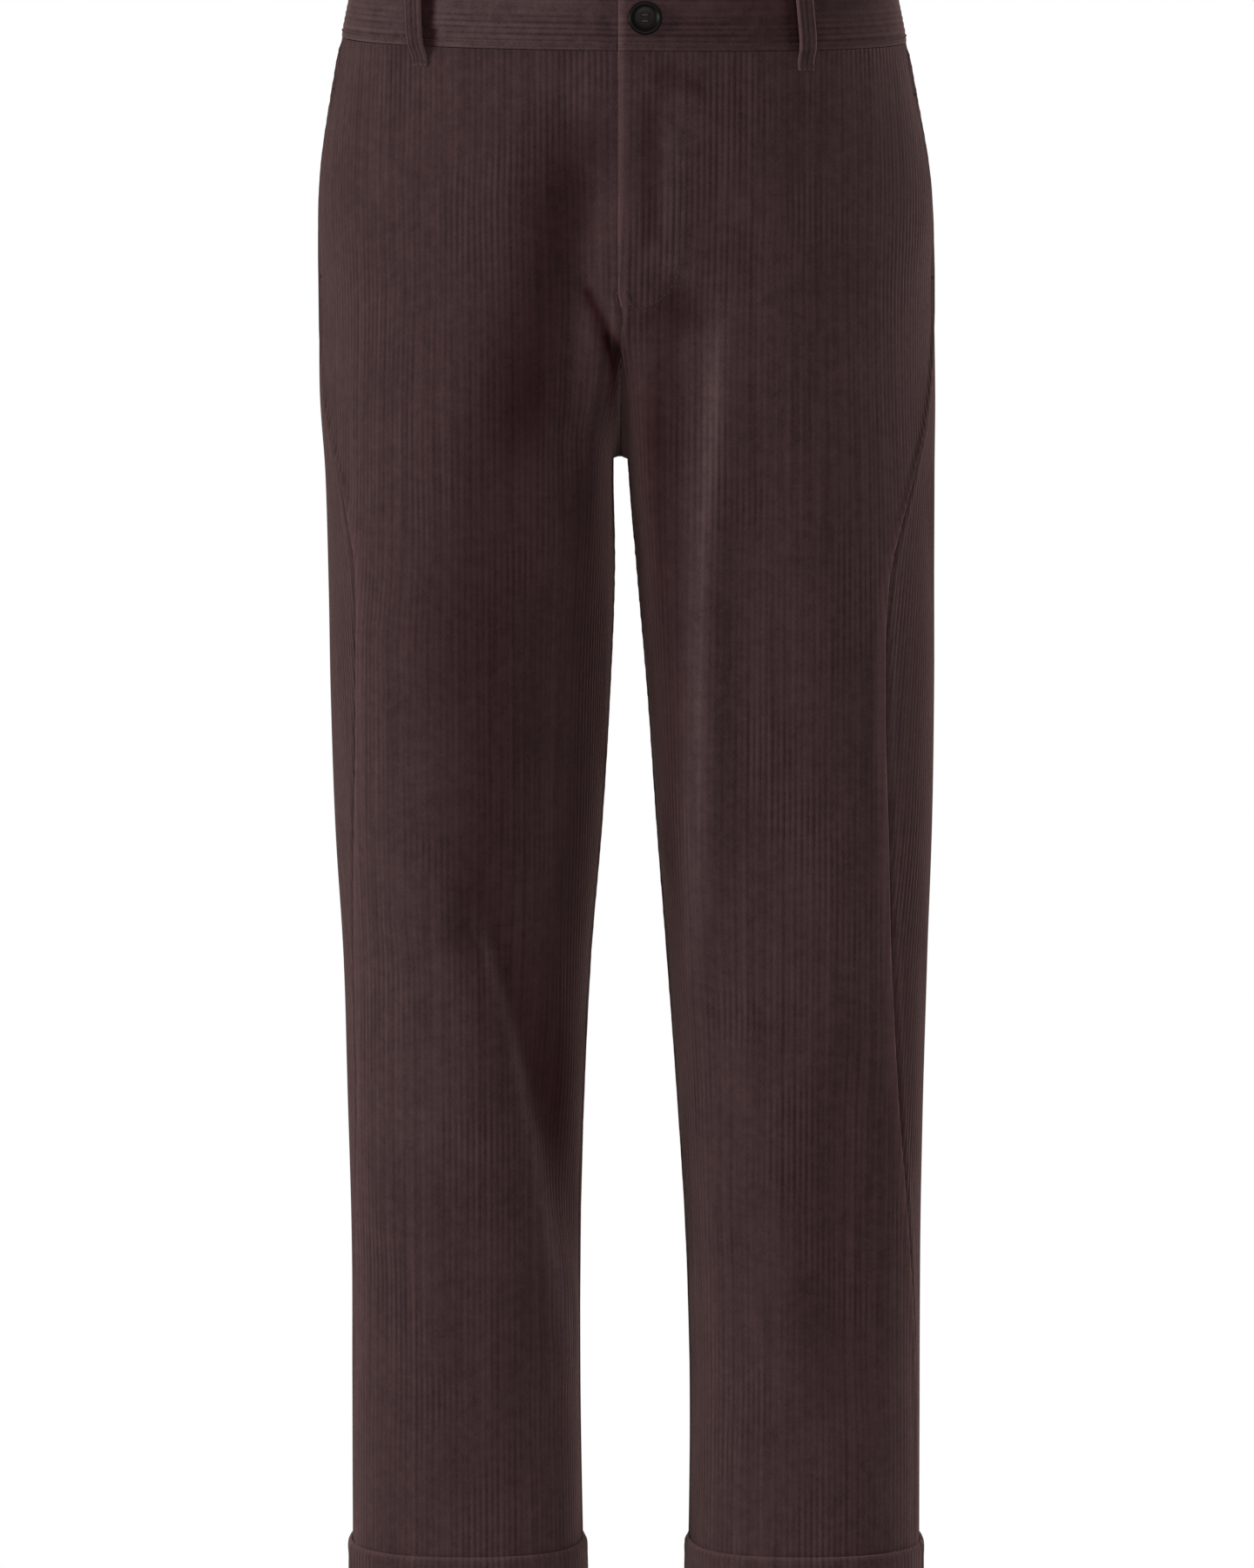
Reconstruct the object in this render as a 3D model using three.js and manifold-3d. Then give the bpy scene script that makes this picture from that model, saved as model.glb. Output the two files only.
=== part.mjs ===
// Corduroy trousers with turn-ups, in the shape they take when worn, hollow and open at the waist and hems.
// Millimetres, +Z up, front facing -Y, +X to the wearer's left. The origin is the middle of the waist opening.
import * as THREE from 'three';
import Module from 'manifold-3d';

const wasm = await Module();
wasm.setup();

const DEGREE = Math.PI / 180;

// Steps for taking slopes of the form
const TURN_STEP = 0.02;
const HEIGHT_STEP = 0.5;
const TINY = 1e-3;
const HALVINGS = 40;

// Cloth and seams
const CLOTH = 1.6;
const BAND_CLOTH = 2.6;
const LOOP_CLOTH = 2.2;
const TURNUP_CLOTH = 2.4;
const SEAM_GAP = 0.3;
const HALF_GAP = SEAM_GAP / 2;
const BAND_SEAM_GAP = 0.5;

// Heights, measured down from the top of the waistband at the sides
const WAISTBAND_HEIGHT = 40;
const BAND_PROUD = 0.8;
const CROTCH_Z = -289;
const FRONT_CURVE_Z = -195;
const BACK_CURVE_Z = -205;
const HIP_TO_LEG = [-110, -285];
const CROTCH_PARTING = 12;
const TURNUP_TOP = -958;
const TURNUP_BOTTOM = -1002;
const HEM_Z = TURNUP_BOTTOM + TURNUP_CLOTH;

// Middle seam and fly
const CENTRE_X = -2.5;
const FLY_EDGE_X = -4.5;
const FLY_LIFT = 1.3;
const UNDER_FLY_DROP = 1.0;
const UNDER_FLY_WIDTH = 10;
const FLY_TUCK_Z = -180;
const FLY_END_Z = -186;
const FLY_BLEND_Z = -198;
const FLY_EDGE_FROM = 0.9;
const FLY_LIFT_RANGE = [0.7, 0.95];
const UNDER_FLY_RANGE = [0.88, 0.95];

// Waist slope: the band dips at the front and a little to the wearer's right, fading out down the hip
const WAIST_DIP = 0.08;
const WAIST_DIP_FADE = [-200, -20];
const WAIST_LEAN = 0.01;
const WAIST_LEAN_FADE = [-250, -20];

const WAIST_POWER = 0.87;
const CENTRE_CROWDING = 1.9;
const CURVE_POWER = 1.3;
const CENTRE_STEEP = 0.7;
const BESIDE_STEEP = 1.7;
const BESIDE_FROM = 0.75;

// Outline of the garment, one row for each level. Outer and inner are the sides of each leg from x = 0,
// front and back are depths, seam is how far forward of the leg's side the side seam lies, in degrees.
// Round and square are powers of the leg's oval on its outer and inner side: the smaller, the squarer.
const SECTION_COLUMNS = [
  'z', 'leftOuter', 'leftInner', 'rightOuter', 'rightInner', 'front', 'back', 'leftSeam', 'rightSeam',
  'round', 'square',
];
const SECTIONS = [
  [0, 167.0, 1.0, 168.5, 7.0, 116, 104, 6, 6, 1.10, 0.80],
  [-60, 177.5, 1.0, 178.5, 7.0, 123, 112, 6, 6, 1.10, 0.80],
  [-120, 187.0, 1.0, 187.0, 7.0, 127, 127, 6, 6, 1.10, 0.70],
  [-190, 190.0, 1.0, 190.0, 7.0, 125, 138, 8, 8, 1.08, 0.50],
  [-250, 190.3, 0.5, 189.5, 7.0, 119, 136, 16, 14, 1.04, 0.42],
  [-300, 190.3, 3.0, 185.5, 8.5, 113, 126, 26, 24, 1.00, 0.45],
  [-360, 190.3, 8.0, 183.5, 7.5, 105, 112, 40, 33, 0.96, 0.52],
  [-440, 190.3, 14.0, 181.5, 10.0, 95, 100, 49, 37, 0.92, 0.60],
  [-520, 188.7, 19.5, 178.5, 15.0, 87, 94, 50, 33, 0.88, 0.68],
  [-600, 186.0, 26.0, 173.5, 22.0, 79, 90, 44, 24, 0.86, 0.74],
  [-690, 182.8, 33.0, 170.3, 26.5, 71, 87, 36, 20, 0.84, 0.77],
  [-780, 181.2, 38.0, 168.3, 29.0, 65, 85, 24, 18, 0.84, 0.80],
  [-880, 181.2, 40.0, 168.3, 29.0, 61, 83, 16, 18, 0.84, 0.80],
  [-1000, 181.2, 38.5, 168.3, 26.0, 58, 81, 16, 18, 0.84, 0.80],
];

// Folds of the cloth: each is a soft trough (negative) or ridge along a line of [x, z] points.
const FOLDS = [
  { face: 'front', height: -10, width: 18,
    line: [[-30, -72], [-52, -111], [-62, -150], [-64, -192], [-66, -240], [-70, -300]] },
  { face: 'front', height: 5, width: 10, line: [[-26, -150], [-24, -224], [-26, -300]] },
  { face: 'front', height: -3, width: 12, line: [[46, -190], [39, -224], [34, -275]] },
  { face: 'front', height: 5, width: 11,
    line: [[54, -215], [57, -262], [48, -332], [43, -450], [48, -547], [49, -680]] },
  { face: 'front', height: -5, width: 12,
    line: [[-98, -560], [-82, -600], [-54, -668], [-42, -735], [-36, -800]] },
  { face: 'front', height: 4, width: 9,
    line: [[-90, -600], [-69, -654], [-59, -719], [-47, -773], [-41, -832], [-34, -895]] },
  { face: 'front', height: 3, width: 16, line: [[-118, -420], [-112, -520], [-104, -620]] },
  { face: 'front', height: -4, width: 13, line: [[136, -670], [145, -800], [150, -900]] },
  { face: 'back', height: -7, width: 14, line: [[-20, -285], [-60, -318], [-105, -345], [-150, -352]] },
  { face: 'back', height: -6, width: 14, line: [[16, -283], [60, -312], [110, -332], [155, -338]] },
  { face: 'back', height: 5, width: 14, line: [[-100, -375], [-96, -450], [-92, -520]] },
  { face: 'back', height: 5, width: 14, line: [[104, -365], [106, -440], [108, -520]] },
  { face: 'back', height: -5, width: 13, line: [[-150, -500], [-105, -540], [-55, -560]] },
  { face: 'back', height: -5, width: 13, line: [[160, -520], [115, -552], [65, -566]] },
  { face: 'back', height: -4, width: 12, line: [[-52, -610], [-90, -680], [-112, -770]] },
  { face: 'back', height: -4, width: 12, line: [[70, -620], [108, -690], [132, -790]] },
];

// Panels are grids: levels down the garment and steps across each panel.
const HIP_LEVELS = [-64, -88, -112, -136, -160, FLY_TUCK_Z, FLY_END_Z, -192, FLY_BLEND_Z];
const CROTCH_LEVELS = [-214, -230, -245, -258, -269, -278, -284, -287.6, CROTCH_Z];
const THIGH_LEVELS = [-292, -300, -314, -335];
const LEG_LEVEL_COUNT = 14;
const PANEL_STEPS = 14;
const SLIT_CLOSE = 0.94;

// Where folds are quiet, so that pieces still meet: near the middle seam, under the band and at the turn-ups
const MIDDLE_QUIET = [1, 0.9];
const MIDDLE_QUIET_ABOVE = CROTCH_Z - 20;
const BAND_QUIET = [-40, -75];
const TURNUP_QUIET = [-940, -900];
const FOLD_SIDE_FADE = 0.35;
const FOLD_END_FADE = 0.25;

const SIDES = [['left', 1], ['right', -1]];

// Waistband grid. The right half steps in under the left half: shares of the way round and of the step, then
// the shares at which it goes on behind the left half.
const BAND_LEVELS = [0, -20, -WAISTBAND_HEIGHT];
const BAND_STEPS = 24;
const STEP_IN = 3.0;
const STEP_IN_SHARES = [[0.8, 0], [0.86, 0.4], [0.91, 1]];
const UNDERLAP_SHARES = [1, 11 / 12, 10 / 12, 9 / 12, 8 / 12];

// Belt loops: name, facing (1 front, -1 back) and x. Their path is height and distance from the cloth.
const LOOP_WIDTH = 12;
const LOOPS = [
  ['loop_front_left', 1, 111],
  ['loop_front_right', 1, -130],
  ['loop_side_left', -1, 128],
  ['loop_side_right', -1, -128],
  ['loop_back', -1, CENTRE_X],
];
const LOOP_PATH = [
  [-0.5, 1.2], [-3, 2.8], [-6, 5.2], [-12, 6.4], [-34, 6.4], [-41, 4.8], [-45, 1.7], [-48, 0.5], [-53, 0.4],
];

// Turn-up: outer and inner points of its wall, from its free edge down and under the hem.
const TURNUP_PATH = [
  [TURNUP_TOP, 2.7, TURNUP_TOP, 0.4],
  [-980, 3.0, -980, 0.4],
  [TURNUP_BOTTOM + 2, 2.8, HEM_Z - SEAM_GAP, 0.4],
  [TURNUP_BOTTOM, 1.4, HEM_Z - SEAM_GAP, 0.2],
  [TURNUP_BOTTOM, -CLOTH, HEM_Z - SEAM_GAP, -CLOTH],
];

// Side pockets: their mouths lie in the side seams. The facing reaches over some of the panels' columns.
const POCKET_LEVELS = [-64, -88, -112, -136, -160, FLY_TUCK_Z];
const POCKET_TOP = POCKET_LEVELS[0];
const POCKET_BOTTOM = FLY_TUCK_Z;
const POCKET_LIFT = 1.0;
const POCKET_LIFT_SHARE = 0.22;
const POCKET_FADE = 30;
const POCKET_CLOTH = 1.2;
const POCKET_BACK_COLUMNS = 1;
const POCKET_FRONT_COLUMNS = 2;

// Button: radius and height of the points of its outline, turned about its middle.
const BUTTON_X = 11.8;
const BUTTON_Z = -19.9;
const BUTTON_THICKNESS = 3.4;
const BUTTON_SEAT = 0.3;
const BUTTON_SEGMENTS = 32;
const BUTTON_HOLES = 4;
const BUTTON_HOLE = 1.9;
const BUTTON_HOLE_SIDES = 10;
const BUTTON_HOLE_CIRCLE = 5.2;
const BUTTON_PROFILE = [
  [0, 0], [7.5, 0], [9.6, 1.1], [10, 2.2], [9.4, 3.2], [8.4, 3.4], [7.6, 2.9], [6.6, 2.1], [0, 1.9],
];

// Colours of the finishes
const CORDUROY = { color: '#4a3637', roughness: 0.95, metalness: 0 };
const BAND_CORDUROY = { color: '#4d393a', roughness: 0.95, metalness: 0 };
const HORN = { color: '#15130f', roughness: 0.35, metalness: 0 };

const clamp01 = (x) => Math.min(1, Math.max(0, x));
const smooth = (from, to, x) => {
  const t = clamp01((x - from) / (to - from));
  return t * t * (3 - 2 * t);
};
const mix = (a, b, t) => a + (b - a) * t;

// A smooth curve through one column of the section table, as a function of height.
function sectionCurve(name) {
  const column = SECTION_COLUMNS.indexOf(name);
  const xs = SECTIONS.map((row) => -row[0]);
  const ys = SECTIONS.map((row) => row[column]);
  const slopes = ys.map((y, i) => {
    const a = Math.max(0, i - 1);
    const b = Math.min(ys.length - 1, i + 1);
    return (ys[b] - ys[a]) / (xs[b] - xs[a]);
  });
  return (z) => {
    const x = Math.min(xs[xs.length - 1], Math.max(xs[0], -z));
    let i = 0;
    while (i < xs.length - 2 && x > xs[i + 1]) i += 1;
    const h = xs[i + 1] - xs[i];
    const t = (x - xs[i]) / h;
    const t2 = t * t;
    const t3 = t2 * t;
    return (2 * t3 - 3 * t2 + 1) * ys[i] + (t3 - 2 * t2 + t) * h * slopes[i]
      + (3 * t2 - 2 * t3) * ys[i + 1] + (t3 - t2) * h * slopes[i + 1];
  };
}
const sectionAt = Object.fromEntries(SECTION_COLUMNS.slice(1).map((name) => [name, sectionCurve(name)]));

const outerX = (side, z) => side * (side > 0 ? sectionAt.leftOuter(z) : sectionAt.rightOuter(z));
const innerX = (side, z) => side * (side > 0 ? sectionAt.leftInner(z) : sectionAt.rightInner(z));
const seamAngle = (side, z) => DEGREE * (side > 0 ? sectionAt.leftSeam(z) : sectionAt.rightSeam(z));
const sideY = (z) => (sectionAt.back(z) - sectionAt.front(z)) / 2;

// How far round an angle is: 0 on the outer side of the leg, 1 on the middle seam or inseam.
const aroundOf = (angle) => Math.min(1, Math.abs(angle) / Math.PI);

// Share of the way that the cloth between the legs has gone back from the front's depth, or forward from the
// back's, at a height. On the middle seam it dives under to the crotch point, beside it the turn is softer.
function crotchShare(around, start, z) {
  const t = clamp01((start - z) / (start - CROTCH_Z));
  const steep = mix(BESIDE_STEEP, CENTRE_STEEP, smooth(BESIDE_FROM, 1, around));
  return 1 - (1 - t ** CURVE_POWER) ** steep;
}

// A point of the smooth garment, without folds. The angle runs from the leg's outer side (0) forwards to
// the middle seam or inseam (pi), and backwards to it (-pi).
function formPoint(side, angle, z) {
  const around = aroundOf(angle);
  const front = angle >= 0;
  const start = front ? FRONT_CURVE_Z : BACK_CURVE_Z;
  const depth = front ? -sectionAt.front(z) : sectionAt.back(z);
  const outer = outerX(side, z);
  const y0 = sideY(z);

  const hipAngle = (Math.PI / 2) * (1 - (1 - around) ** CENTRE_CROWDING);
  const hipX = CENTRE_X + (outer - CENTRE_X) * Math.max(0, Math.cos(hipAngle)) ** WAIST_POWER;
  const hipY = mix(y0, depth, Math.sin(hipAngle) ** WAIST_POWER);

  const inner = innerX(side, z);
  const middle = (outer + inner) / 2;
  const c = Math.cos(angle);
  const isInner = c < 0;
  const power = isInner ? sectionAt.square(z) : sectionAt.round(z);
  const legX = middle + Math.sign(c) * ((outer - inner) / 2) * Math.abs(c) ** power;
  const fullness = Math.abs(Math.sin(angle)) ** power;
  const legY = isInner ? depth : mix(y0, depth, fullness);

  const share = smooth(HIP_TO_LEG[0], HIP_TO_LEG[1], z);
  let x = mix(hipX, legX, share);
  let y = mix(hipY, legY, share);
  if (isInner) y = mix(y, y0, crotchShare(around, start, z) * (1 - fullness));
  if (z >= CROTCH_Z) x = mix(x, CENTRE_X, clamp01((around - SLIT_CLOSE) / (1 - SLIT_CLOSE)) ** 2);
  const lift = WAIST_DIP * y * smooth(...WAIST_DIP_FADE, z) + WAIST_LEAN * x * smooth(...WAIST_LEAN_FADE, z);
  return new THREE.Vector3(x, y, z + lift);
}

// The outward direction of the smooth garment. On the middle seam it lies in the plane of the seam.
function formNormal(side, angle, z) {
  const turn = Math.sign(angle || 1);
  const onSeam = Math.PI - Math.abs(angle) < TINY;
  if (onSeam && z > CROTCH_Z - TINY) {
    if (z < CROTCH_Z + TINY) return new THREE.Vector3(0, 0, -1);
    const step = Math.min(HEIGHT_STEP, (z - CROTCH_Z) / 2);
    const along = formPoint(side, angle, z + step).sub(formPoint(side, angle, z - step));
    return new THREE.Vector3(0, -turn * along.z, turn * along.y).normalize();
  }
  const a0 = Math.max(-Math.PI, angle - TURN_STEP);
  const a1 = Math.min(Math.PI, angle + TURN_STEP);
  const across = formPoint(side, a1, z).sub(formPoint(side, a0, z));
  const down = formPoint(side, angle, z - HEIGHT_STEP).sub(formPoint(side, angle, z + HEIGHT_STEP));
  return across.cross(down).multiplyScalar(side).normalize();
}

// Height of the folds at a point: each fold falls off across its line and fades out at its two ends.
function foldHeight(angle, x, z) {
  let sum = 0;
  for (const fold of FOLDS) {
    const facing = fold.face === 'front' ? 1 : -1;
    const shown = smooth(0, FOLD_SIDE_FADE, facing * Math.sin(angle));
    let nearest = Infinity;
    let share = 0;
    const pieces = fold.line.length - 1;
    for (let i = 0; i < pieces; i += 1) {
      const [ax, az] = fold.line[i];
      const [bx, bz] = fold.line[i + 1];
      const length2 = (bx - ax) ** 2 + (bz - az) ** 2;
      const t = clamp01(((x - ax) * (bx - ax) + (z - az) * (bz - az)) / length2);
      const distance = Math.hypot(x - mix(ax, bx, t), z - mix(az, bz, t));
      if (distance < nearest) {
        nearest = distance;
        share = (i + t) / pieces;
      }
    }
    const fade = smooth(0, FOLD_END_FADE, share) * smooth(1, 1 - FOLD_END_FADE, share);
    sum += fold.height * fade * shown * Math.exp(-((nearest / fold.width) ** 2) / 2);
  }
  return sum;
}

// Folds die out towards the middle seam of the hips, where both halves have to meet.
function foldAt(angle, point, z) {
  const around = aroundOf(angle);
  const quiet = z >= MIDDLE_QUIET_ABOVE ? smooth(...MIDDLE_QUIET, around) : 1;
  return foldHeight(angle, point.x, z) * quiet * smooth(...BAND_QUIET, z) * smooth(...TURNUP_QUIET, z);
}

// A point of the cloth, moved out from the smooth garment by its folds and by a further distance.
function clothPoint(side, angle, z, out, shiftX = 0) {
  const point = formPoint(side, angle, z);
  const normal = formNormal(side, angle, z);
  const moved = point.clone().addScaledVector(normal, foldAt(angle, point, z) + out);
  moved.x += shiftX;
  return moved;
}

// A closed wall from two grids of points, outside and inside, with the same rows and columns.
function wallGeometry(outside, inside) {
  const rows = outside.length;
  const columns = outside[0].length;
  const positions = [];
  for (const grid of [outside, inside]) {
    for (const row of grid) for (const p of row) positions.push(p.x, p.y, p.z);
  }
  const layer = rows * columns;
  const at = (face, r, c) => face * layer + r * columns + c;
  const faces = [];
  const quad = (a, b, c, d) => faces.push(a, b, c, a, c, d);
  for (let r = 0; r < rows - 1; r += 1) {
    for (let c = 0; c < columns - 1; c += 1) {
      quad(at(0, r, c), at(0, r, c + 1), at(0, r + 1, c + 1), at(0, r + 1, c));
      quad(at(1, r, c), at(1, r + 1, c), at(1, r + 1, c + 1), at(1, r, c + 1));
    }
  }
  for (let r = 0; r < rows - 1; r += 1) {
    quad(at(0, r, 0), at(0, r + 1, 0), at(1, r + 1, 0), at(1, r, 0));
    quad(at(0, r, columns - 1), at(1, r, columns - 1), at(1, r + 1, columns - 1), at(0, r + 1, columns - 1));
  }
  for (let c = 0; c < columns - 1; c += 1) {
    quad(at(0, 0, c), at(1, 0, c), at(1, 0, c + 1), at(0, 0, c + 1));
    quad(at(0, rows - 1, c), at(0, rows - 1, c + 1), at(1, rows - 1, c + 1), at(1, rows - 1, c));
  }
  const geometry = new THREE.BufferGeometry();
  geometry.setAttribute('position', new THREE.Float32BufferAttribute(positions, 3));
  geometry.setIndex(faces);
  return facingOut(geometry);
}

// Turns the faces of a closed mesh round if its volume comes out negative.
function facingOut(geometry) {
  const p = geometry.getAttribute('position');
  const index = geometry.getIndex();
  const corners = [new THREE.Vector3(), new THREE.Vector3(), new THREE.Vector3()];
  let volume = 0;
  for (let i = 0; i < index.count; i += 3) {
    corners.forEach((corner, k) => corner.fromBufferAttribute(p, index.getX(i + k)));
    volume += corners[0].dot(corners[1].cross(corners[2]));
  }
  if (volume < 0) {
    for (let i = 0; i < index.count; i += 3) {
      const keep = index.getX(i + 1);
      index.setX(i + 1, index.getX(i + 2));
      index.setX(i + 2, keep);
    }
  }
  return geometry;
}

const group = new THREE.Group();
function addMesh(name, geometry, finish) {
  const mesh = new THREE.Mesh(geometry, new THREE.MeshStandardMaterial(finish));
  mesh.name = name;
  group.add(mesh);
}

// Leg panels
// Moves the two end columns of a row half a seam's gap towards the middle of the panel.
function openSeams(row) {
  const last = row.length - 1;
  const ends = [[0, 1], [last, last - 1]];
  for (const [end, next] of ends) {
    const step = row[next].clone().sub(row[end]).normalize();
    row[end].addScaledVector(step, HALF_GAP);
  }
  return row;
}

// Above the crotch point the last column lies half a gap from the middle seam. At the crotch point, where four
// panels meet, it is also half a gap in front of or behind the others.
function partAtMiddle(point, side, isFront, z) {
  point.x = CENTRE_X + side * HALF_GAP + (isFront ? flyShift(side, z) : 0);
  const nearPoint = smooth(CROTCH_Z + CROTCH_PARTING, CROTCH_Z, z);
  point.y += (isFront ? -HALF_GAP : HALF_GAP) * nearPoint;
}

// How far the front's middle edge is moved across along the fly: the wearer's left front laps over the right.
function flyShift(side, z) {
  const along = smooth(FLY_BLEND_Z, FLY_END_Z, z);
  if (side > 0) return (FLY_EDGE_X - CENTRE_X) * along;
  const under = (UNDER_FLY_WIDTH + SEAM_GAP) * smooth(FLY_END_Z, FLY_TUCK_Z, z);
  return (FLY_EDGE_X - CENTRE_X) * along + under;
}

// Lift of the cloth along the fly, where the left front lies over the right one.
function flyLift(side, around, z) {
  const along = smooth(FLY_BLEND_Z, FLY_END_Z, z);
  if (side > 0) return FLY_LIFT * smooth(...FLY_LIFT_RANGE, around) * along;
  return -UNDER_FLY_DROP * smooth(...UNDER_FLY_RANGE, around) * along;
}

// The front's edge stands a little off the back panel along the mouth of the side pocket.
function mouthLift(share, z) {
  const belowTop = smooth(POCKET_TOP, POCKET_TOP - POCKET_FADE, z);
  const aboveBottom = smooth(POCKET_BOTTOM, POCKET_BOTTOM + POCKET_FADE, z);
  return POCKET_LIFT * belowTop * aboveBottom * smooth(POCKET_LIFT_SHARE, 0, share);
}

// One leg panel, front or back, from the waistband down to the hem, as rows of points at an offset.
function panelRows(side, face, levels, out) {
  const isFront = face === 'front';
  return levels.map((z) => {
    const seam = seamAngle(side, z);
    const row = [];
    for (let i = 0; i <= PANEL_STEPS; i += 1) {
      const share = i / PANEL_STEPS;
      const angle = mix(seam, isFront ? Math.PI : -Math.PI, share);
      const around = aroundOf(angle);
      const lift = isFront ? flyLift(side, around, z) + mouthLift(share, z) : 0;
      const shift = isFront ? flyShift(side, z) * smooth(FLY_EDGE_FROM, 1, around) : 0;
      row.push(clothPoint(side, angle, z, out + lift, shift));
    }
    openSeams(row);
    if (z >= CROTCH_Z) partAtMiddle(row[row.length - 1], side, isFront, z);
    return row;
  });
}

function panelLevels() {
  const legTop = THIGH_LEVELS[THIGH_LEVELS.length - 1];
  const levels = [-WAISTBAND_HEIGHT - BAND_SEAM_GAP, ...HIP_LEVELS, ...CROTCH_LEVELS, ...THIGH_LEVELS];
  for (let i = 1; i <= LEG_LEVEL_COUNT; i += 1) levels.push(mix(legTop, HEM_Z, i / LEG_LEVEL_COUNT));
  return levels;
}

for (const [word, side] of SIDES) {
  for (const face of ['front', 'back']) {
    const outside = panelRows(side, face, panelLevels(), 0);
    const inside = panelRows(side, face, panelLevels(), -CLOTH);
    addMesh(`${face}_${word}`, wallGeometry(outside, inside), CORDUROY);
  }
}

// Waistband: two halves that meet at the back. The wearer's left one laps over the right one at the front.
function bandColumns(side) {
  const columns = [];
  for (let i = 0; i <= BAND_STEPS; i += 1) {
    const angle = mix(-Math.PI, Math.PI, i / BAND_STEPS);
    const around = angle > 0 ? aroundOf(angle) : 0;
    if (side > 0) {
      columns.push({ side, angle, out: 0, shift: (FLY_EDGE_X - CENTRE_X) * smooth(FLY_EDGE_FROM, 1, around) });
    } else if (around < STEP_IN_SHARES[0][0]) {
      columns.push({ side, angle, out: 0, shift: 0 });
    }
  }
  if (side > 0) return columns;
  for (const [around, share] of STEP_IN_SHARES) {
    columns.push({ side, angle: around * Math.PI, out: -STEP_IN * share, shift: 0 });
  }
  for (const around of UNDERLAP_SHARES) {
    columns.push({ side: 1, angle: around * Math.PI, out: -STEP_IN, shift: 0 });
  }
  return columns;
}
for (const [word, side] of SIDES) {
  const columns = bandColumns(side);
  const rows = (out) => BAND_LEVELS.map((z) => {
    const row = columns.map((c) => clothPoint(c.side, c.angle, z, c.out + out, c.shift));
    return openSeams(row);
  });
  addMesh(`waistband_${word}`, wallGeometry(rows(BAND_PROUD), rows(BAND_PROUD - BAND_CLOTH)), BAND_CORDUROY);
}

// The angle on one side and face at which the smooth garment reaches an x, found by halving.
function angleAtX(side, facing, x, z) {
  let low = 0;
  let high = Math.PI;
  for (let i = 0; i < HALVINGS; i += 1) {
    const mid = (low + high) / 2;
    if (side * formPoint(side, facing * mid, z).x > side * x) low = mid;
    else high = mid;
  }
  return (facing * (low + high)) / 2;
}

// Belt loops: folded strips that stand off the band to let a belt through, sewn down above and below it.
function loopGeometry(facing, x) {
  const middleSide = x > CENTRE_X ? 1 : -1;
  const normal = formNormal(middleSide, angleAtX(middleSide, facing, x, 0), 0);
  const reach = (LOOP_WIDTH / 2) * Math.abs(normal.y);
  const edges = [x - reach, x + reach].map((edgeX) => {
    const side = edgeX > CENTRE_X ? 1 : -1;
    return { side, angle: angleAtX(side, facing, edgeX, 0) };
  });
  const rows = (extra) => LOOP_PATH.map(([z, out]) => edges.map(({ side, angle }) => {
    const point = formPoint(side, angle, z);
    return point.addScaledVector(formNormal(side, angle, z), out + extra);
  }));
  return wallGeometry(rows(LOOP_CLOTH), rows(0));
}
for (const [name, facing, x] of LOOPS) addMesh(name, loopGeometry(facing, x), BAND_CORDUROY);

// Turn-ups: the end of each leg folded up outside, so it wraps under the panel's hem.
function turnupGeometry(side, face) {
  const isFront = face === 'front';
  const outside = [];
  const inside = [];
  for (const [z, out, innerZ, innerOut] of TURNUP_PATH) {
    const seam = seamAngle(side, z);
    const rowAt = (level, distance) => {
      const row = [];
      for (let i = 0; i <= PANEL_STEPS; i += 1) {
        const angle = mix(seam, isFront ? Math.PI : -Math.PI, i / PANEL_STEPS);
        row.push(clothPoint(side, angle, level, distance));
      }
      return openSeams(row);
    };
    outside.push(rowAt(z, out));
    inside.push(rowAt(innerZ, innerOut));
  }
  return wallGeometry(outside, inside);
}
for (const [word, side] of SIDES) {
  for (const face of ['front', 'back']) addMesh(`turnup_${face}_${word}`, turnupGeometry(side, face), CORDUROY);
}

// Pocket facings: a strip of the same cloth behind the mouth of each side pocket.
function pocketRows(side, depth) {
  return POCKET_LEVELS.map((z) => {
    const seam = seamAngle(side, z);
    const row = [];
    for (let k = -POCKET_BACK_COLUMNS; k <= POCKET_FRONT_COLUMNS; k += 1) {
      const angle = mix(seam, k < 0 ? -Math.PI : Math.PI, Math.abs(k) / PANEL_STEPS);
      row.push(clothPoint(side, angle, z, -CLOTH - SEAM_GAP - depth));
    }
    return row;
  });
}
for (const [word, side] of SIDES) {
  addMesh(`pocket_${word}`, wallGeometry(pocketRows(side, 0), pocketRows(side, POCKET_CLOTH)), CORDUROY);
}

// Button: a turned disc with a raised rim and four holes, lying on the band.
function buttonGeometry() {
  const { Manifold, CrossSection } = wasm;
  const profile = CrossSection.ofPolygons([BUTTON_PROFILE]);
  let body = profile.revolve(BUTTON_SEGMENTS);
  const radius = BUTTON_HOLE / 2;
  const hole = Manifold.cylinder(BUTTON_THICKNESS * 3, radius, radius, BUTTON_HOLE_SIDES, true);
  for (let i = 0; i < BUTTON_HOLES; i += 1) {
    const turn = (2 * Math.PI * (i + 0.5)) / BUTTON_HOLES;
    const far = BUTTON_HOLE_CIRCLE / 2;
    body = body.subtract(hole.translate([far * Math.cos(turn), far * Math.sin(turn), 0]));
  }
  const mesh = body.getMesh();
  const geometry = new THREE.BufferGeometry();
  geometry.setAttribute('position', new THREE.Float32BufferAttribute(mesh.vertProperties, 3));
  geometry.setIndex(Array.from(mesh.triVerts));
  return geometry;
}
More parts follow.
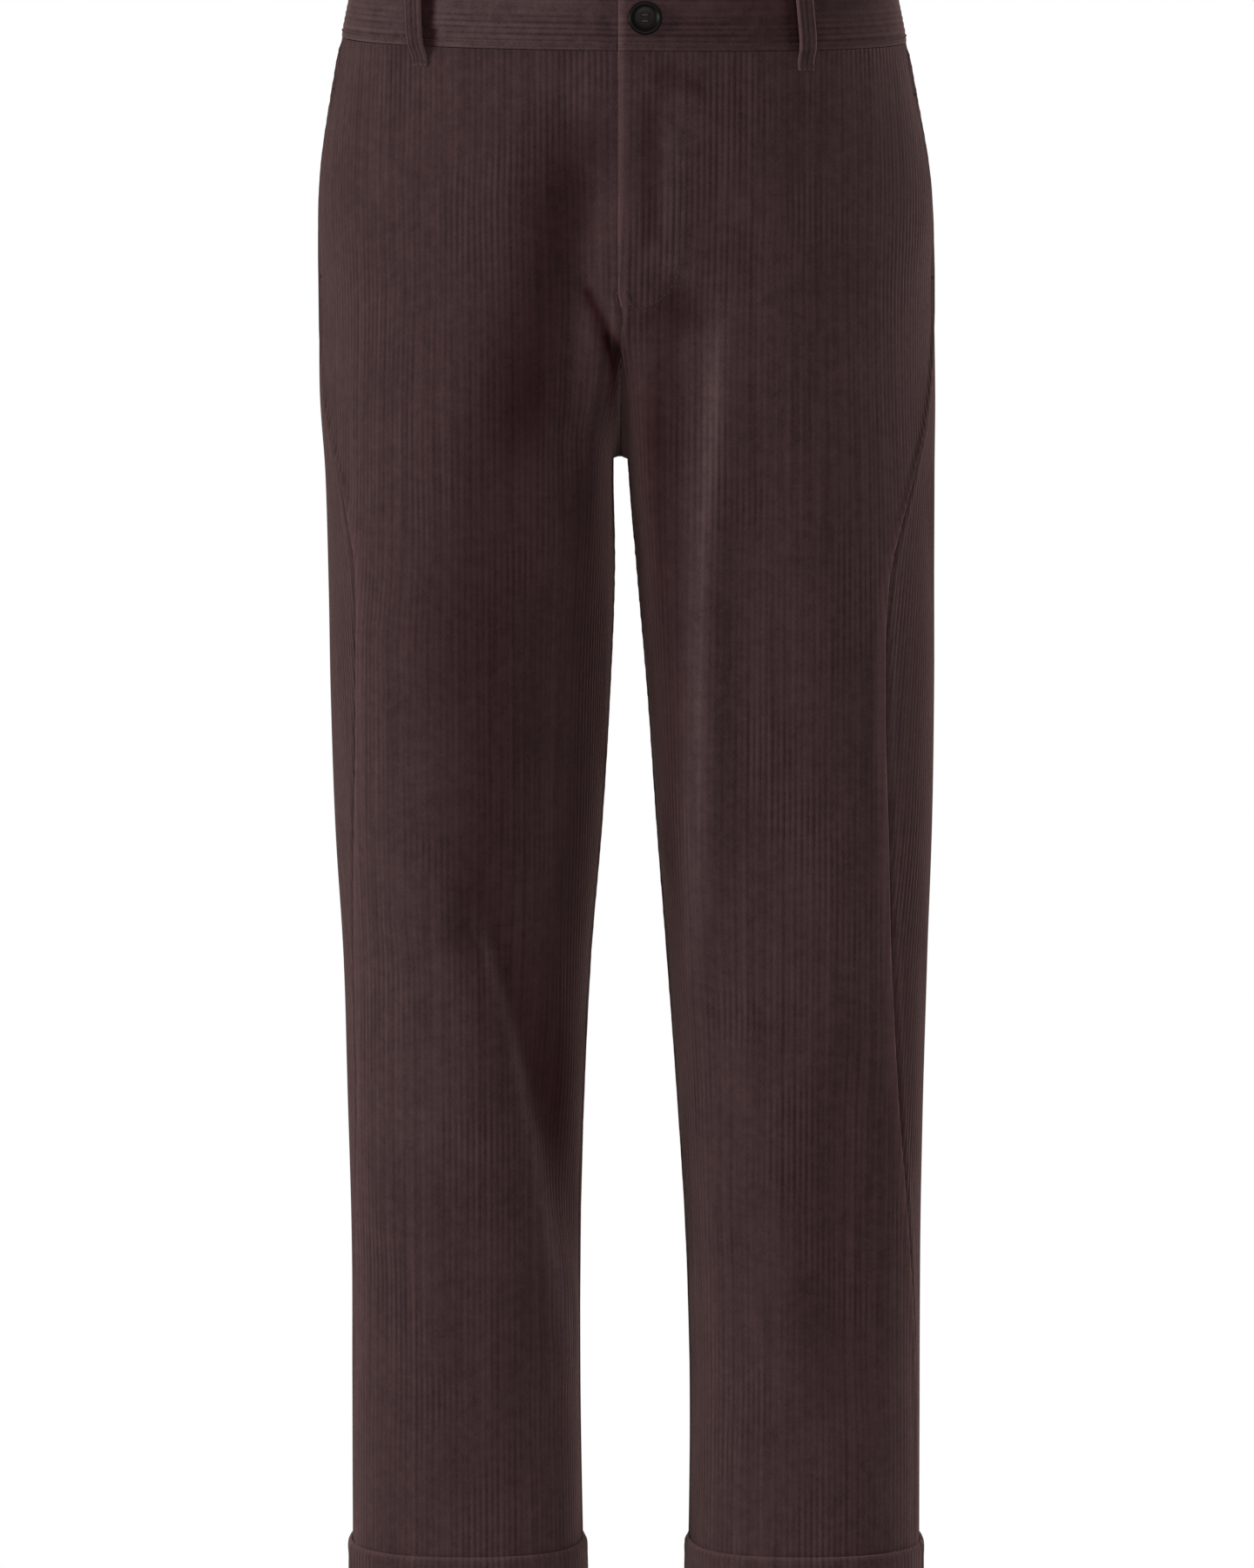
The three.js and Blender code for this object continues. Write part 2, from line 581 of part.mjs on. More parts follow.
function placeButton(geometry) {
  const angle = angleAtX(1, 1, BUTTON_X, BUTTON_Z);
  const base = formPoint(1, angle, BUTTON_Z);
  const normal = formNormal(1, angle, BUTTON_Z);
  const right = new THREE.Vector3(0, 0, 1).cross(normal).normalize();
  const up = normal.clone().cross(right);
  base.addScaledVector(normal, BAND_PROUD + SEAM_GAP + BUTTON_SEAT);
  const matrix = new THREE.Matrix4().makeBasis(right, up, normal).setPosition(base);
  return geometry.applyMatrix4(matrix);
}
addMesh('button', placeButton(buttonGeometry()), HORN);

export default group;
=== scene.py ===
# Corduroy trousers with turn-ups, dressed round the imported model. Metres, front facing -Y, +Z up.
import math

import bpy
import numpy as np
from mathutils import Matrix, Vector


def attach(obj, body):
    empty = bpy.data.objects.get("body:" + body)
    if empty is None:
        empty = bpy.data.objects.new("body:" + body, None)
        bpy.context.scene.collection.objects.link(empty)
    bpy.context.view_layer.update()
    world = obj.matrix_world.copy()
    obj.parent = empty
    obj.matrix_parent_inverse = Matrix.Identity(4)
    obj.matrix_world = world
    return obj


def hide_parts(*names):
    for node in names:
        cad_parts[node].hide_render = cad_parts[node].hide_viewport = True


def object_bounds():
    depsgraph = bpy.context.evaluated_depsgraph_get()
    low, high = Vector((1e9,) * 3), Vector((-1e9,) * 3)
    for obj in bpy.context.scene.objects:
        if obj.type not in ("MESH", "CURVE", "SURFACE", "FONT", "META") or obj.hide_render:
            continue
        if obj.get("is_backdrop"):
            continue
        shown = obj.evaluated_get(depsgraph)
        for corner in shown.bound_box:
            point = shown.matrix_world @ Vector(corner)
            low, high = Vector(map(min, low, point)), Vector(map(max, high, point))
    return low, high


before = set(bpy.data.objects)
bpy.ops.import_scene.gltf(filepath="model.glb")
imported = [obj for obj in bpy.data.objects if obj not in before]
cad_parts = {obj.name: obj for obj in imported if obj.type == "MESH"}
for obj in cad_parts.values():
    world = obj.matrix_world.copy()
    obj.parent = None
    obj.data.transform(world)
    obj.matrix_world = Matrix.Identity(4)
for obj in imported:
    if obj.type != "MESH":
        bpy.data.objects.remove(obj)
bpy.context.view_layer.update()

# Studio
# The trousers hang at their waist over a pale seamless floor. A broad soft light stands at the viewer's left
# and a weaker one at the right, and the white room fills the rest.

PIXELS_PER_M = 1882.6
PICTURE_HEIGHT = 1800.0
CAMERA_DISTANCE = 4.446
CAMERA_X = 0.001
CAMERA_Z = -0.105
AIM_Z = -0.4931
SENSOR_MM = 36.0
FLOOR_Z = -1.10


def linear(hex_colour):
    """sRGB hex colour to linear red, green and blue: ((c + 0.055) / 1.055) ** 2.4 above the toe."""
    channels = [int(hex_colour[i:i + 2], 16) / 255 for i in (1, 3, 5)]
    return [c / 12.92 if c <= 0.04045 else ((c + 0.055) / 1.055) ** 2.4 for c in channels]


def put_node(tree, kind, settings=(), links=(), **places):
    """Adds one shader node: settings are its properties, places its input values, links (input, output) pairs."""
    node = tree.nodes.new(kind)
    for key, value in dict(settings).items():
        setattr(node, key, value)
    for key, value in places.items():
        node.inputs[key.replace("_", " ")].default_value = value
    for name, source in links:
        tree.links.new(node.inputs[name], source)
    return node


def new_material(name):
    """An empty node material and its output node."""
    material = bpy.data.materials.new(name)
    material.use_nodes = True
    material.node_tree.nodes.clear()
    return material, material.node_tree, material.node_tree.nodes.new("ShaderNodeOutputMaterial")


def aim(thing, target):
    """Turns a camera or light so that its -Z axis points from its place to the target."""
    offset = np.array(target) - np.array(thing.location)
    flat = math.hypot(offset[0], offset[1])
    thing.rotation_euler = (math.pi / 2 + math.atan2(offset[2], flat), 0, math.atan2(-offset[0], offset[1]))


camera_data = bpy.data.cameras.new("camera")
camera = bpy.data.objects.new("camera", camera_data)
bpy.context.scene.collection.objects.link(camera)
camera.location = (CAMERA_X, -CAMERA_DISTANCE, CAMERA_Z)
aim(camera, (CAMERA_X, 0, AIM_Z))
camera_data.sensor_width = SENSOR_MM
camera_data.lens = SENSOR_MM * CAMERA_DISTANCE * PIXELS_PER_M / PICTURE_HEIGHT
camera_data.clip_end = 60
bpy.context.scene.camera = camera

# Name, place, aim, size and watts of each softbox.
SOFTBOXES = [
    ("key_softbox", (-3.9, -1.5, 0.5), (0, 0, -0.45), 1.3, 90),
    ("fill_softbox", (0.6, -4.7, -0.1), (0, 0, -0.5), 1.9, 62),
    ("rim_softbox", (3.2, 1.6, 0.4), (0, 0, -0.4), 1.6, 28),
    ("back_softbox", (-0.9, 4.6, 0.6), (0, 0, -0.5), 1.8, 45),
]
for name, place, target, size, watts in SOFTBOXES:
    light = bpy.data.lights.new(name, "AREA")
    light.shape = "SQUARE"
    light.size = size
    light.energy = watts
    box = bpy.data.objects.new(name, light)
    box.location = place
    aim(box, target)
    bpy.context.scene.collection.objects.link(box)

# The room is white where the camera sees it and gives the object a weaker, even light.
ROOM_LIGHT = 0.24
world = bpy.data.worlds.new("white room")
bpy.context.scene.world = world
world.use_nodes = True
world.node_tree.nodes.clear()
seen = put_node(world.node_tree, "ShaderNodeBackground", Color=(1, 1, 1, 1), Strength=1.0)
cast = put_node(world.node_tree, "ShaderNodeBackground", Color=(1, 1, 1, 1), Strength=ROOM_LIGHT)
path = put_node(world.node_tree, "ShaderNodeLightPath")
both = put_node(world.node_tree, "ShaderNodeMixShader",
                links=[(0, path.outputs["Is Camera Ray"]), (1, cast.outputs[0]), (2, seen.outputs[0])])
put_node(world.node_tree, "ShaderNodeOutputWorld", links=[("Surface", both.outputs[0])])
bpy.context.scene.view_settings.view_transform = "Standard"

FLOOR_RADIUS = 0.55
FLOOR_SIDES = 96
around = np.arange(FLOOR_SIDES) * 2 * np.pi / FLOOR_SIDES
floor_mesh = bpy.data.meshes.new("floor")
floor_mesh.from_pydata(np.stack([np.cos(around) * FLOOR_RADIUS, np.sin(around) * FLOOR_RADIUS,
                                 np.full(FLOOR_SIDES, FLOOR_Z)], -1).tolist(), [], [tuple(range(FLOOR_SIDES))])
floor = bpy.data.objects.new("floor", floor_mesh)
bpy.context.scene.collection.objects.link(floor)
paper, tree, output = new_material("matt white paper")
grain = put_node(tree, "ShaderNodeTexNoise", Scale=300.0)
ramp = put_node(tree, "ShaderNodeValToRGB", links=[("Fac", grain.outputs["Fac"])])
ramp.color_ramp.elements[0].color = (0.90, 0.90, 0.90, 1)
ramp.color_ramp.elements[1].color = (0.94, 0.94, 0.94, 1)
shader = put_node(tree, "ShaderNodeBsdfPrincipled", links=[("Base Color", ramp.outputs[0])], Roughness=0.95)
tree.links.new(output.inputs["Surface"], shader.outputs[0])
floor_mesh.materials.append(paper)
floor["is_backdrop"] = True

# Leg panels
# Four panels of cotton corduroy run from the waist seam to the hem: a front and a back for each leg, sewn at
# the sides, the inside legs and the middle. The pile stands in upright ribs, the wales, and the ends of the
# seams are pressed open underneath, which raises a soft ridge along each.

MM = 0.001
CLOTH = 1.6
SEAM_GAP = 0.3
BAND_TOP = 1
BAND_BOTTOM = -38.5
BAND_SEAM_GAP = 0.5
CROTCH_Z = -291.5
FRONT_CURVE_Z = -198.7
BACK_CURVE_Z = -208.5
HIP_TO_LEG = (-114.7, -287.6)
TURNUP_TOP = -961.4
TURNUP_BOTTOM = -1005
HEM_Z = TURNUP_BOTTOM + 2.4
CENTRE_X = -2.5
FLY_EDGE_X = -4.5
FLY_LIFT = 1.3
UNDER_FLY_DROP = 1.0
UNDER_FLY_WIDTH = 10
FLY_TUCK_Z = -184
FLY_END_Z = -190
FLY_BLEND_Z = -201.6
POCKET_TOP = -69
POCKET_BOTTOM = FLY_TUCK_Z
POCKET_LIFT = 1.0

# Outline, a row for each level, in millimetres: the outer and inner side of each leg from x = 0, the depths to
# front and back, how far forward the side seam lies in degrees, and powers of the leg's oval, the smaller the
# squarer: round on its outer side, leftFront and rightFront inside at the front, square inside at the back.
SECTION_COLUMNS = ("z", "leftOuter", "leftInner", "rightOuter", "rightInner", "front", "back", "leftSeam",
                   "rightSeam", "round", "leftFront", "rightFront", "square")
SECTIONS = np.array([
    (1.9, 161.8, 1, 163.2, 6.9, 113.6, 101.8, 6, 6, 1.10, 0.80, 0.80, 0.80),
    (-6, 163.3, 1, 164.7, 6.9, 114.6, 102.8, 6, 6, 1.10, 0.80, 0.80, 0.80),
    (-65.3, 174.9, 1, 176.2, 6.9, 121.5, 110.7, 6, 6, 1.10, 0.80, 0.80, 0.80),
    (-124.6, 184.8, 1, 184.8, 6.9, 125.5, 125.5, 6, 6, 1.10, 0.70, 0.70, 0.70),
    (-193.7, 187.7, 1, 186.1, 6.9, 123.5, 136.3, 8, 8, 1.08, 0.43, 0.45, 0.50),
    (-253, 189, 0.5, 186.4, 6.9, 117.6, 134.4, 18, 16, 1.04, 0.28, 0.32, 0.42),
    (-302.4, 188.7, 3, 183.1, 8.4, 111.6, 124.5, 33, 29, 1.00, 0.30, 0.45, 0.45),
    (-361.7, 188.5, 7.9, 181.3, 7.4, 103.7, 110.7, 48, 39, 0.96, 0.40, 0.80, 0.52),
    (-440.7, 188.7, 14.8, 180, 10.5, 93.9, 98.8, 52, 40, 0.92, 0.50, 1.00, 0.60),
    (-519.8, 187.7, 20.3, 177.5, 15.4, 86, 92.9, 51, 36, 0.88, 0.58, 1.02, 0.68),
    (-598.8, 185.2, 26.5, 172.9, 22.1, 78.1, 88.9, 48, 29, 0.86, 0.66, 1.00, 0.74),
    (-687.7, 183, 33, 170.6, 26.5, 70.1, 86, 41, 28, 0.84, 0.72, 0.95, 0.77),
    (-776.6, 181.7, 38.5, 168.6, 28.8, 64.2, 84, 29, 20, 0.84, 0.77, 0.90, 0.80),
    (-875.4, 181.7, 41, 168.6, 28.8, 60.3, 82, 18, 18, 0.84, 0.80, 0.85, 0.80),
    (-994, 181.8, 40, 168.6, 26.7, 57.3, 80, 16, 18, 0.84, 0.80, 0.80, 0.80),
])

# The large folds, as in the solids: facing (1 front, -1 back), height, width and a line of x, z points.
FOLDS = [
    (1, -12, 12, [(-14, -90), (-22, -115), (-28, -149), (-31, -179), (-33, -213), (-33, -248),
                  (-34, -293), (-38, -347)]),
    (1, 5, 20, [(-69, -95), (-77, -144), (-81, -204), (-87, -273), (-99, -342)]),
    (1, 3, 7, [(-21, -154), (-20, -194), (-19, -227), (-22, -293)]),
    (1, -4, 10, [(43, -179), (38, -209), (33, -278)]),
    (1, 7, 9, [(55, -184), (58, -254), (51, -334), (49, -421), (49, -493), (50, -559), (44, -688)]),
    (1, 3.5, 20, [(81, -194), (78, -283), (74, -381), (71, -480), (69, -599)]),
    (1, -8, 10, [(-97, -530), (-89, -564), (-77, -604), (-61, -653), (-49, -703), (-40, -767), (-32, -846)]),
    (1, 5.5, 7, [(-95, -559), (-83, -591), (-68, -643), (-57, -698), (-46, -754), (-37, -811), (-31, -880)]),
    (1, 6, 22, [(-128, -342), (-126, -431), (-121, -520), (-107, -599)]),
    (1, -6, 15, [(126, -638), (132, -757), (136, -900)]),
    (-1, -7, 14, [(-20, -288), (-59, -320), (-104, -347), (-148, -354)]),
    (-1, -6, 14, [(16, -286), (59, -314), (109, -334), (153, -340)]),
    (-1, 5, 14, [(-99, -376), (-95, -451), (-91, -520)]),
    (-1, 5, 14, [(103, -367), (105, -441), (107, -520)]),
    (-1, -5, 13, [(-148, -500), (-104, -540), (-54, -559)]),
    (-1, -5, 13, [(158, -520), (114, -551), (64, -565)]),
    (-1, -4, 12, [(-51, -609), (-89, -678), (-111, -767)]),
    (-1, -4, 12, [(69, -619), (107, -688), (130, -787)]),
]

# Smaller creases that only the visual cloth has, in the same columns.
CREASES = [
    (1, -4.6, 4.5, [(-29, -169), (-24, -188), (-17, -204), (-9, -222), (-4, -243)]),
    (1, -1.6, 5, [(17, -57), (17, -105), (17, -144), (18, -180)]),
    (1, 2.2, 5, [(29, -65), (28, -115), (28, -174)]),
    (1, -1.5, 3, [(24, -75), (34, -85), (47, -89)]),
    (1, -1.2, 3, [(18, -101), (28, -109), (36, -111)]),
    (1, -1.2, 3, [(16, -132), (26, -141), (35, -144)]),
    (1, 2.2, 5, [(14, -162), (24, -169), (36, -172)]),
    (1, -1.6, 4, [(12, -180), (26, -187), (43, -188)]),
    (1, -1.6, 5, [(8, -208), (22, -217), (40, -221)]),
    (1, 1.5, 6, [(65, -132), (81, -144), (103, -146)]),
    (1, -1.4, 6, [(63, -160), (83, -174), (109, -174)]),
    (1, 1.2, 7, [(69, -190), (93, -204), (123, -202)]),
    (1, -1.2, 8, [(83, -233), (109, -253), (138, -255)]),
    (1, 1.2, 9, [(-148, -105), (-119, -132), (-95, -138)]),
    (1, -1.2, 9, [(-148, -174), (-123, -194), (-97, -196)]),
    (1, -1.4, 8, [(-8, -265), (-36, -285), (-77, -293)]),
    (1, -1.8, 8, [(-148, -421), (-119, -437), (-79, -433)]),
    (1, -1.8, 9, [(-138, -505), (-103, -530), (-65, -536)]),
    (1, 1.6, 9, [(-148, -559), (-123, -577), (-99, -579)]),
    (1, -1.4, 9, [(65, -500), (99, -516), (144, -506)]),
    (1, 1.4, 9, [(61, -555), (97, -559), (138, -551)]),
    (1, -1.4, 9, [(57, -619), (91, -632), (126, -628)]),
    (1, 1.5, 10, [(79, -698), (91, -767), (95, -846)]),
    (1, -1.6, 9, [(63, -757), (69, -826), (69, -900)]),
    (1, -2.0, 6, [(-59, -713), (-51, -757), (-45, -806), (-41, -846)]),
    (1, -1.4, 8, [(-69, -844), (-57, -875), (-49, -920)]),
    (1, -1.6, 10, [(-148, -757), (-140, -826), (-138, -900)]),
    (-1, -2.6, 7, [(-24, -228), (-59, -249), (-103, -255)]),
    (-1, -2.2, 7, [(20, -235), (59, -255), (107, -259)]),
    (-1, 2.0, 8, [(-30, -307), (-71, -336), (-119, -354)]),
    (-1, -2.4, 7, [(-38, -344), (-77, -368), (-124, -374)]),
    (-1, -2.2, 7, [(36, -338), (83, -362), (130, -368)]),
    (-1, -2.8, 9, [(-138, -470), (-99, -486), (-57, -482)]),
    (-1, 2.2, 9, [(-146, -520), (-107, -514), (-59, -530)]),
    (-1, -2.4, 8, [(-142, -579), (-103, -591), (-65, -585)]),
    (-1, -2.6, 9, [(57, -484), (103, -500), (148, -488)]),
    (-1, 2.0, 9, [(61, -530), (109, -524), (152, -545)]),
    (-1, -2.2, 8, [(71, -595), (111, -603), (148, -593)]),
    (-1, -2.0, 8, [(-138, -717), (-117, -787), (-111, -856)]),
    (-1, 1.8, 9, [(-69, -737), (-73, -816), (-71, -895)]),
    (-1, -2.0, 8, [(138, -717), (126, -787), (124, -864)]),
    (-1, 1.8, 9, [(83, -747), (85, -826), (83, -900)]),
]

# Painted shade and painted highlight: the colour is made darker along the hollows of the folds and paler along
# their ridges, where shade and light fall. It reaches past the sides by the reach below, in sines of the angle.
PAINTED_SHADING_REACH = 0.45
PAINTED_SHADING = [
    (1, -0.34, 16, [(-17, -70), (-26, -84), (-34, -102), (-39, -128), (-43, -162), (-49, -198), (-56, -232),
                    (-61, -272), (-63, -305)]),
    (1, -0.22, 27, [(-60, -215), (-64, -250), (-67, -285), (-75, -332), (-83, -411), (-83, -490), (-79, -559),
                    (-73, -638)]),
    (1, -0.36, 10, [(-20, -243), (-23, -302), (-21, -381), (-23, -488), (-30, -567), (-34, -648), (-30, -721),
                    (-26, -820)]),
    (1, -0.62, 2.6, [(-24.5, -184), (-23, -190), (-19.5, -198), (-15, -207), (-11, -215), (-8, -222),
                    (-5, -229)]),
    (1, -0.92, 3.4, [(-10, -214), (-8, -220), (-5.5, -227), (-4.2, -236), (-3.9, -250), (-3.9, -275),
                    (-3.9, -292),
                     (-3.9, -296), (-3.9, -300)]),
    (1, -0.10, 12, [(8, -192), (13, -207), (19, -230), (21, -262), (20, -300)]),
    (1, 0.36, 4.5, [(57, -169), (57, -204), (51, -265), (46, -328), (45, -411), (45, -486), (43, -579),
                    (39, -676)]),
    (1, -0.42, 11, [(15, -204), (15, -253), (18, -302), (22, -381), (25, -470), (26, -559), (27, -638),
                    (32, -737)]),
    (1, -0.24, 10, [(-99, -525), (-91, -551), (-83, -579), (-74, -611), (-63, -648), (-51, -698),
                    (-41, -757)]),
    (1, -0.20, 13, [(-66, -556), (-58, -590), (-50, -630), (-43, -670), (-37, -710), (-33, -770)]),
    (1, 0.52, 3.2, [(-97, -547), (-88, -574), (-80, -597), (-67, -646), (-57, -700), (-46, -755), (-37, -812),
                    (-31, -868), (-28, -940)]),
    (1, -0.12, 20, [(124, -599), (130, -688), (129, -796), (128, -945)]),
    (1, -0.26, 5.5, [(15, -55), (17, -95), (17, -134), (17, -179)]),
    (1, 0.20, 6, [(30, -57), (29, -95), (28, -134), (28, -182)]),
    (1, -0.30, 4, [(12, -53), (20, -54), (30, -56), (40, -60), (49, -67)]),
    (1, 0.22, 6, [(20, -168), (28, -173), (36, -179), (43, -186)]),
    (1, -0.24, 12, [(18, -188), (28, -196), (38, -206), (45, -219)]),
    (1, 0.12, 30, [(-126, -381), (-132, -520), (-124, -638), (-119, -796)]),
    (1, -0.07, 28, [(-83, -20), (-83, -120), (-84, -260), (-85, -420), (-85, -640), (-83, -850),
                    (-83, -1000)]),
    (1, -0.42, 11, [(187, -170), (187, -215), (187, -253), (186, -302), (184, -362), (182, -441), (181, -520),
                    (179, -599), (178, -688), (179, -777), (179, -880)]),
]


def step(a, b, x):
    """Smooth step from 0 at a to 1 at b: t * t * (3 - 2 t), with t = (x - a) / (b - a) held to 0..1."""
    t = np.clip((x - a) / (b - a), 0, 1)
    return t * t * (3 - 2 * t)


def mix(a, b, t):
    """Straight mix of a and b: a + (b - a) t."""
    return a + (b - a) * t


def section(name, z):
    """Hermite curve through one column of the outline table, with each row's slope taken from its neighbours."""
    xs, ys = -SECTIONS[:, 0], SECTIONS[:, SECTION_COLUMNS.index(name)]
    after = np.minimum(np.arange(len(xs)) + 1, len(xs) - 1)
    before = np.maximum(np.arange(len(xs)) - 1, 0)
    slopes = (ys[after] - ys[before]) / (xs[after] - xs[before])
    x = np.clip(-np.asarray(z, float), xs[0], xs[-1])
    i = np.clip(np.searchsorted(xs, x, side="left") - 1, 0, len(xs) - 2)
    h = xs[i + 1] - xs[i]
    t = (x - xs[i]) / h
    return ((2 * t**3 - 3 * t**2 + 1) * ys[i] + (t**3 - 2 * t**2 + t) * h * slopes[i]
            + (3 * t**2 - 2 * t**3) * ys[i + 1] + (t**3 - t**2) * h * slopes[i + 1])


def side_x(side, which, z):
    """x of a leg's outer or inner side: the table's value, on the +X side for side 1 and the -X side for -1."""
    return side * section(("left" if side > 0 else "right") + which, z)


def seam_angle(side, z):
    """Angle of the side seam, in radians forward of the leg's side."""
    return np.radians(section("leftSeam" if side > 0 else "rightSeam", z))


def form(side, angle, z):
    """The smooth garment. Round the hips x = W cos^p, y = D sin^p of an angle crowded to the middle; on a leg
    x and y follow a squarer oval; between them the two mix with height, and the inner half dives back
    towards the crotch point by 1 - (1 - t^1.3)^e."""
    angle, z = np.broadcast_arrays(np.asarray(angle, float), np.asarray(z, float))
    around = np.minimum(1, np.abs(angle) / np.pi)
    front = angle >= 0
    start = np.where(front, FRONT_CURVE_Z, BACK_CURVE_Z)
    depth = np.where(front, -section("front", z), section("back", z))
    outer, inner = side_x(side, "Outer", z), side_x(side, "Inner", z)
    y0 = (section("back", z) - section("front", z)) / 2

    hip = (np.pi / 2) * (1 - (1 - around) ** 1.9)
    hip_x = CENTRE_X + (outer - CENTRE_X) * np.maximum(0, np.cos(hip)) ** 0.87
    hip_y = mix(y0, depth, np.sin(hip) ** 0.87)

    middle, c = (outer + inner) / 2, np.cos(angle)
    inside = c < 0
    inner_power = np.where(front, section("leftFront" if side > 0 else "rightFront", z), section("square", z))
    power = np.where(inside, inner_power, section("round", z))
    leg_x = middle + np.sign(c) * ((outer - inner) / 2) * np.abs(c) ** power
    fullness = np.abs(np.sin(angle)) ** power
    leg_y = np.where(inside, depth, mix(y0, depth, fullness))

    share = step(HIP_TO_LEG[0], HIP_TO_LEG[1], z)
    x, y = mix(hip_x, leg_x, share), mix(hip_y, leg_y, share)
    dive = np.clip((start - z) / (start - CROTCH_Z), 0, 1)
    under = 1 - (1 - dive ** 1.3) ** mix(1.7, 0.7, step(0.75, 1, around))
    y = np.where(inside, mix(y, y0, under * (1 - fullness)), y)
    x = np.where(z >= CROTCH_Z, mix(x, CENTRE_X, np.clip((around - 0.94) / 0.06, 0, 1) ** 2), x)
    lift = 0.08 * y * step(-204, -26, z) - 0.01 * x * step(-253, -26, z)
    return np.stack([x, y, z + lift], -1)


def outward(side, angle, z):
    """Outward unit normal of the form: the cross product of its slopes across and down, and on the middle seam
    the direction square to the seam in its own plane."""
    angle, z = np.broadcast_arrays(np.asarray(angle, float), np.asarray(z, float))
    across = form(side, np.minimum(np.pi, angle + 0.02), z) - form(side, np.maximum(-np.pi, angle - 0.02), z)
    down = form(side, angle, z - 0.5) - form(side, angle, z + 0.5)
    normal = np.cross(across, down) * side
    near = np.clip((z - CROTCH_Z) / 2, 1e-4, 0.4)
    along = form(side, angle, z + near) - form(side, angle, z - near * (z > CROTCH_Z + 1e-3))
    turn = np.where(angle >= 0, 1.0, -1.0)
    seam = np.stack([0 * turn, -turn * along[..., 2], turn * along[..., 1]], -1)
    on_seam = (np.pi - np.abs(angle) < 1e-3) & (z > CROTCH_Z - 1e-3)
    normal = np.where(on_seam[..., None], seam, normal)
    at_point = on_seam & (z < CROTCH_Z + 1e-3)
    normal = np.where(at_point[..., None], np.array([0.0, 0.0, -1.0]), normal)
    return normal / np.maximum(np.linalg.norm(normal, axis=-1, keepdims=True), 1e-12)


def fold_height(folds, angle, x, z, reach=0.0):
    """Sum of the folds: each is height * exp(-(d / width)^2 / 2) of the distance d to its line, faded out at the
    line's ends and, past the given reach, round the sides."""
    total = np.zeros(np.broadcast(angle, x, z).shape)
    for facing, height, width, line in folds:
        nearest = np.full(total.shape, np.inf)
        share = np.zeros(total.shape)
        for i, ((ax, az), (bx, bz)) in enumerate(zip(line[:-1], line[1:])):
            t = np.clip(((x - ax) * (bx - ax) + (z - az) * (bz - az)) / ((bx - ax) ** 2 + (bz - az) ** 2), 0, 1)
            d = np.hypot(x - mix(ax, bx, t), z - mix(az, bz, t))
            share = np.where(d < nearest, (i + t) / (len(line) - 1), share)
            nearest = np.minimum(d, nearest)
        fade = step(0, 0.25, share) * step(1, 0.75, share) * step(-reach, 0.35 - reach, facing * np.sin(angle))
        total += height * fade * np.exp(-((nearest / width) ** 2) / 2)
    return total


def drape(side, angle, z):
    """Folds and creases together, quiet at the middle seam, under the band and at the turn-ups."""
    point = form(side, angle, z)
    around = np.minimum(1, np.abs(angle) / np.pi)
    quiet = np.where(z >= CROTCH_Z - 20, step(1, 0.9, around), 1.0)
    height = fold_height(FOLDS + CREASES, angle, point[..., 0], z)
    return height * quiet * step(-40, -74, z) * step(-935, -895, z)


def fly_shift(side, z):
    """How far the front's middle edge is moved across: to the fly's edge, and under it on the right side."""
    along = step(FLY_BLEND_Z, FLY_END_Z, z)
    under = (UNDER_FLY_WIDTH + SEAM_GAP) * step(FLY_END_Z, FLY_TUCK_Z, z)
    return (FLY_EDGE_X - CENTRE_X) * along + (0 if side > 0 else under)


def fly_lift(side, around, z):
    """The left front is raised along the fly, and the right front sinks under it."""
    along = step(FLY_BLEND_Z, FLY_END_Z, z)
    if side > 0:
        return FLY_LIFT * step(0.7, 0.95, around) * along
    return -UNDER_FLY_DROP * step(0.88, 0.95, around) * along


WALE = 3.6
WALE_SAMPLES = 4
WALE_HEIGHT = 0.34


def wale_profile(turns):
    """Height of the pile over the ground, 0 to 1: a round ridge at each whole turn, |cos(pi turns)|^0.7."""
    return np.abs(np.cos(np.pi * turns)) ** 0.7


def standing(s, z, turn):
    """Where the wales stand up and where their pile is flattened: 0.2 to 1, by two slow waves along and across
    the cloth that bend each other."""
    across = np.sin(s / 15 + 2.1 * np.sin(z / 43 + turn) + turn)
    along = np.sin(z / 31 + 1.9 * np.sin(s / 27 - turn) + 2 * turn)
    return 0.2 + 0.8 * step(-0.7, 1.2, across * along + 0.4 * (across + along))


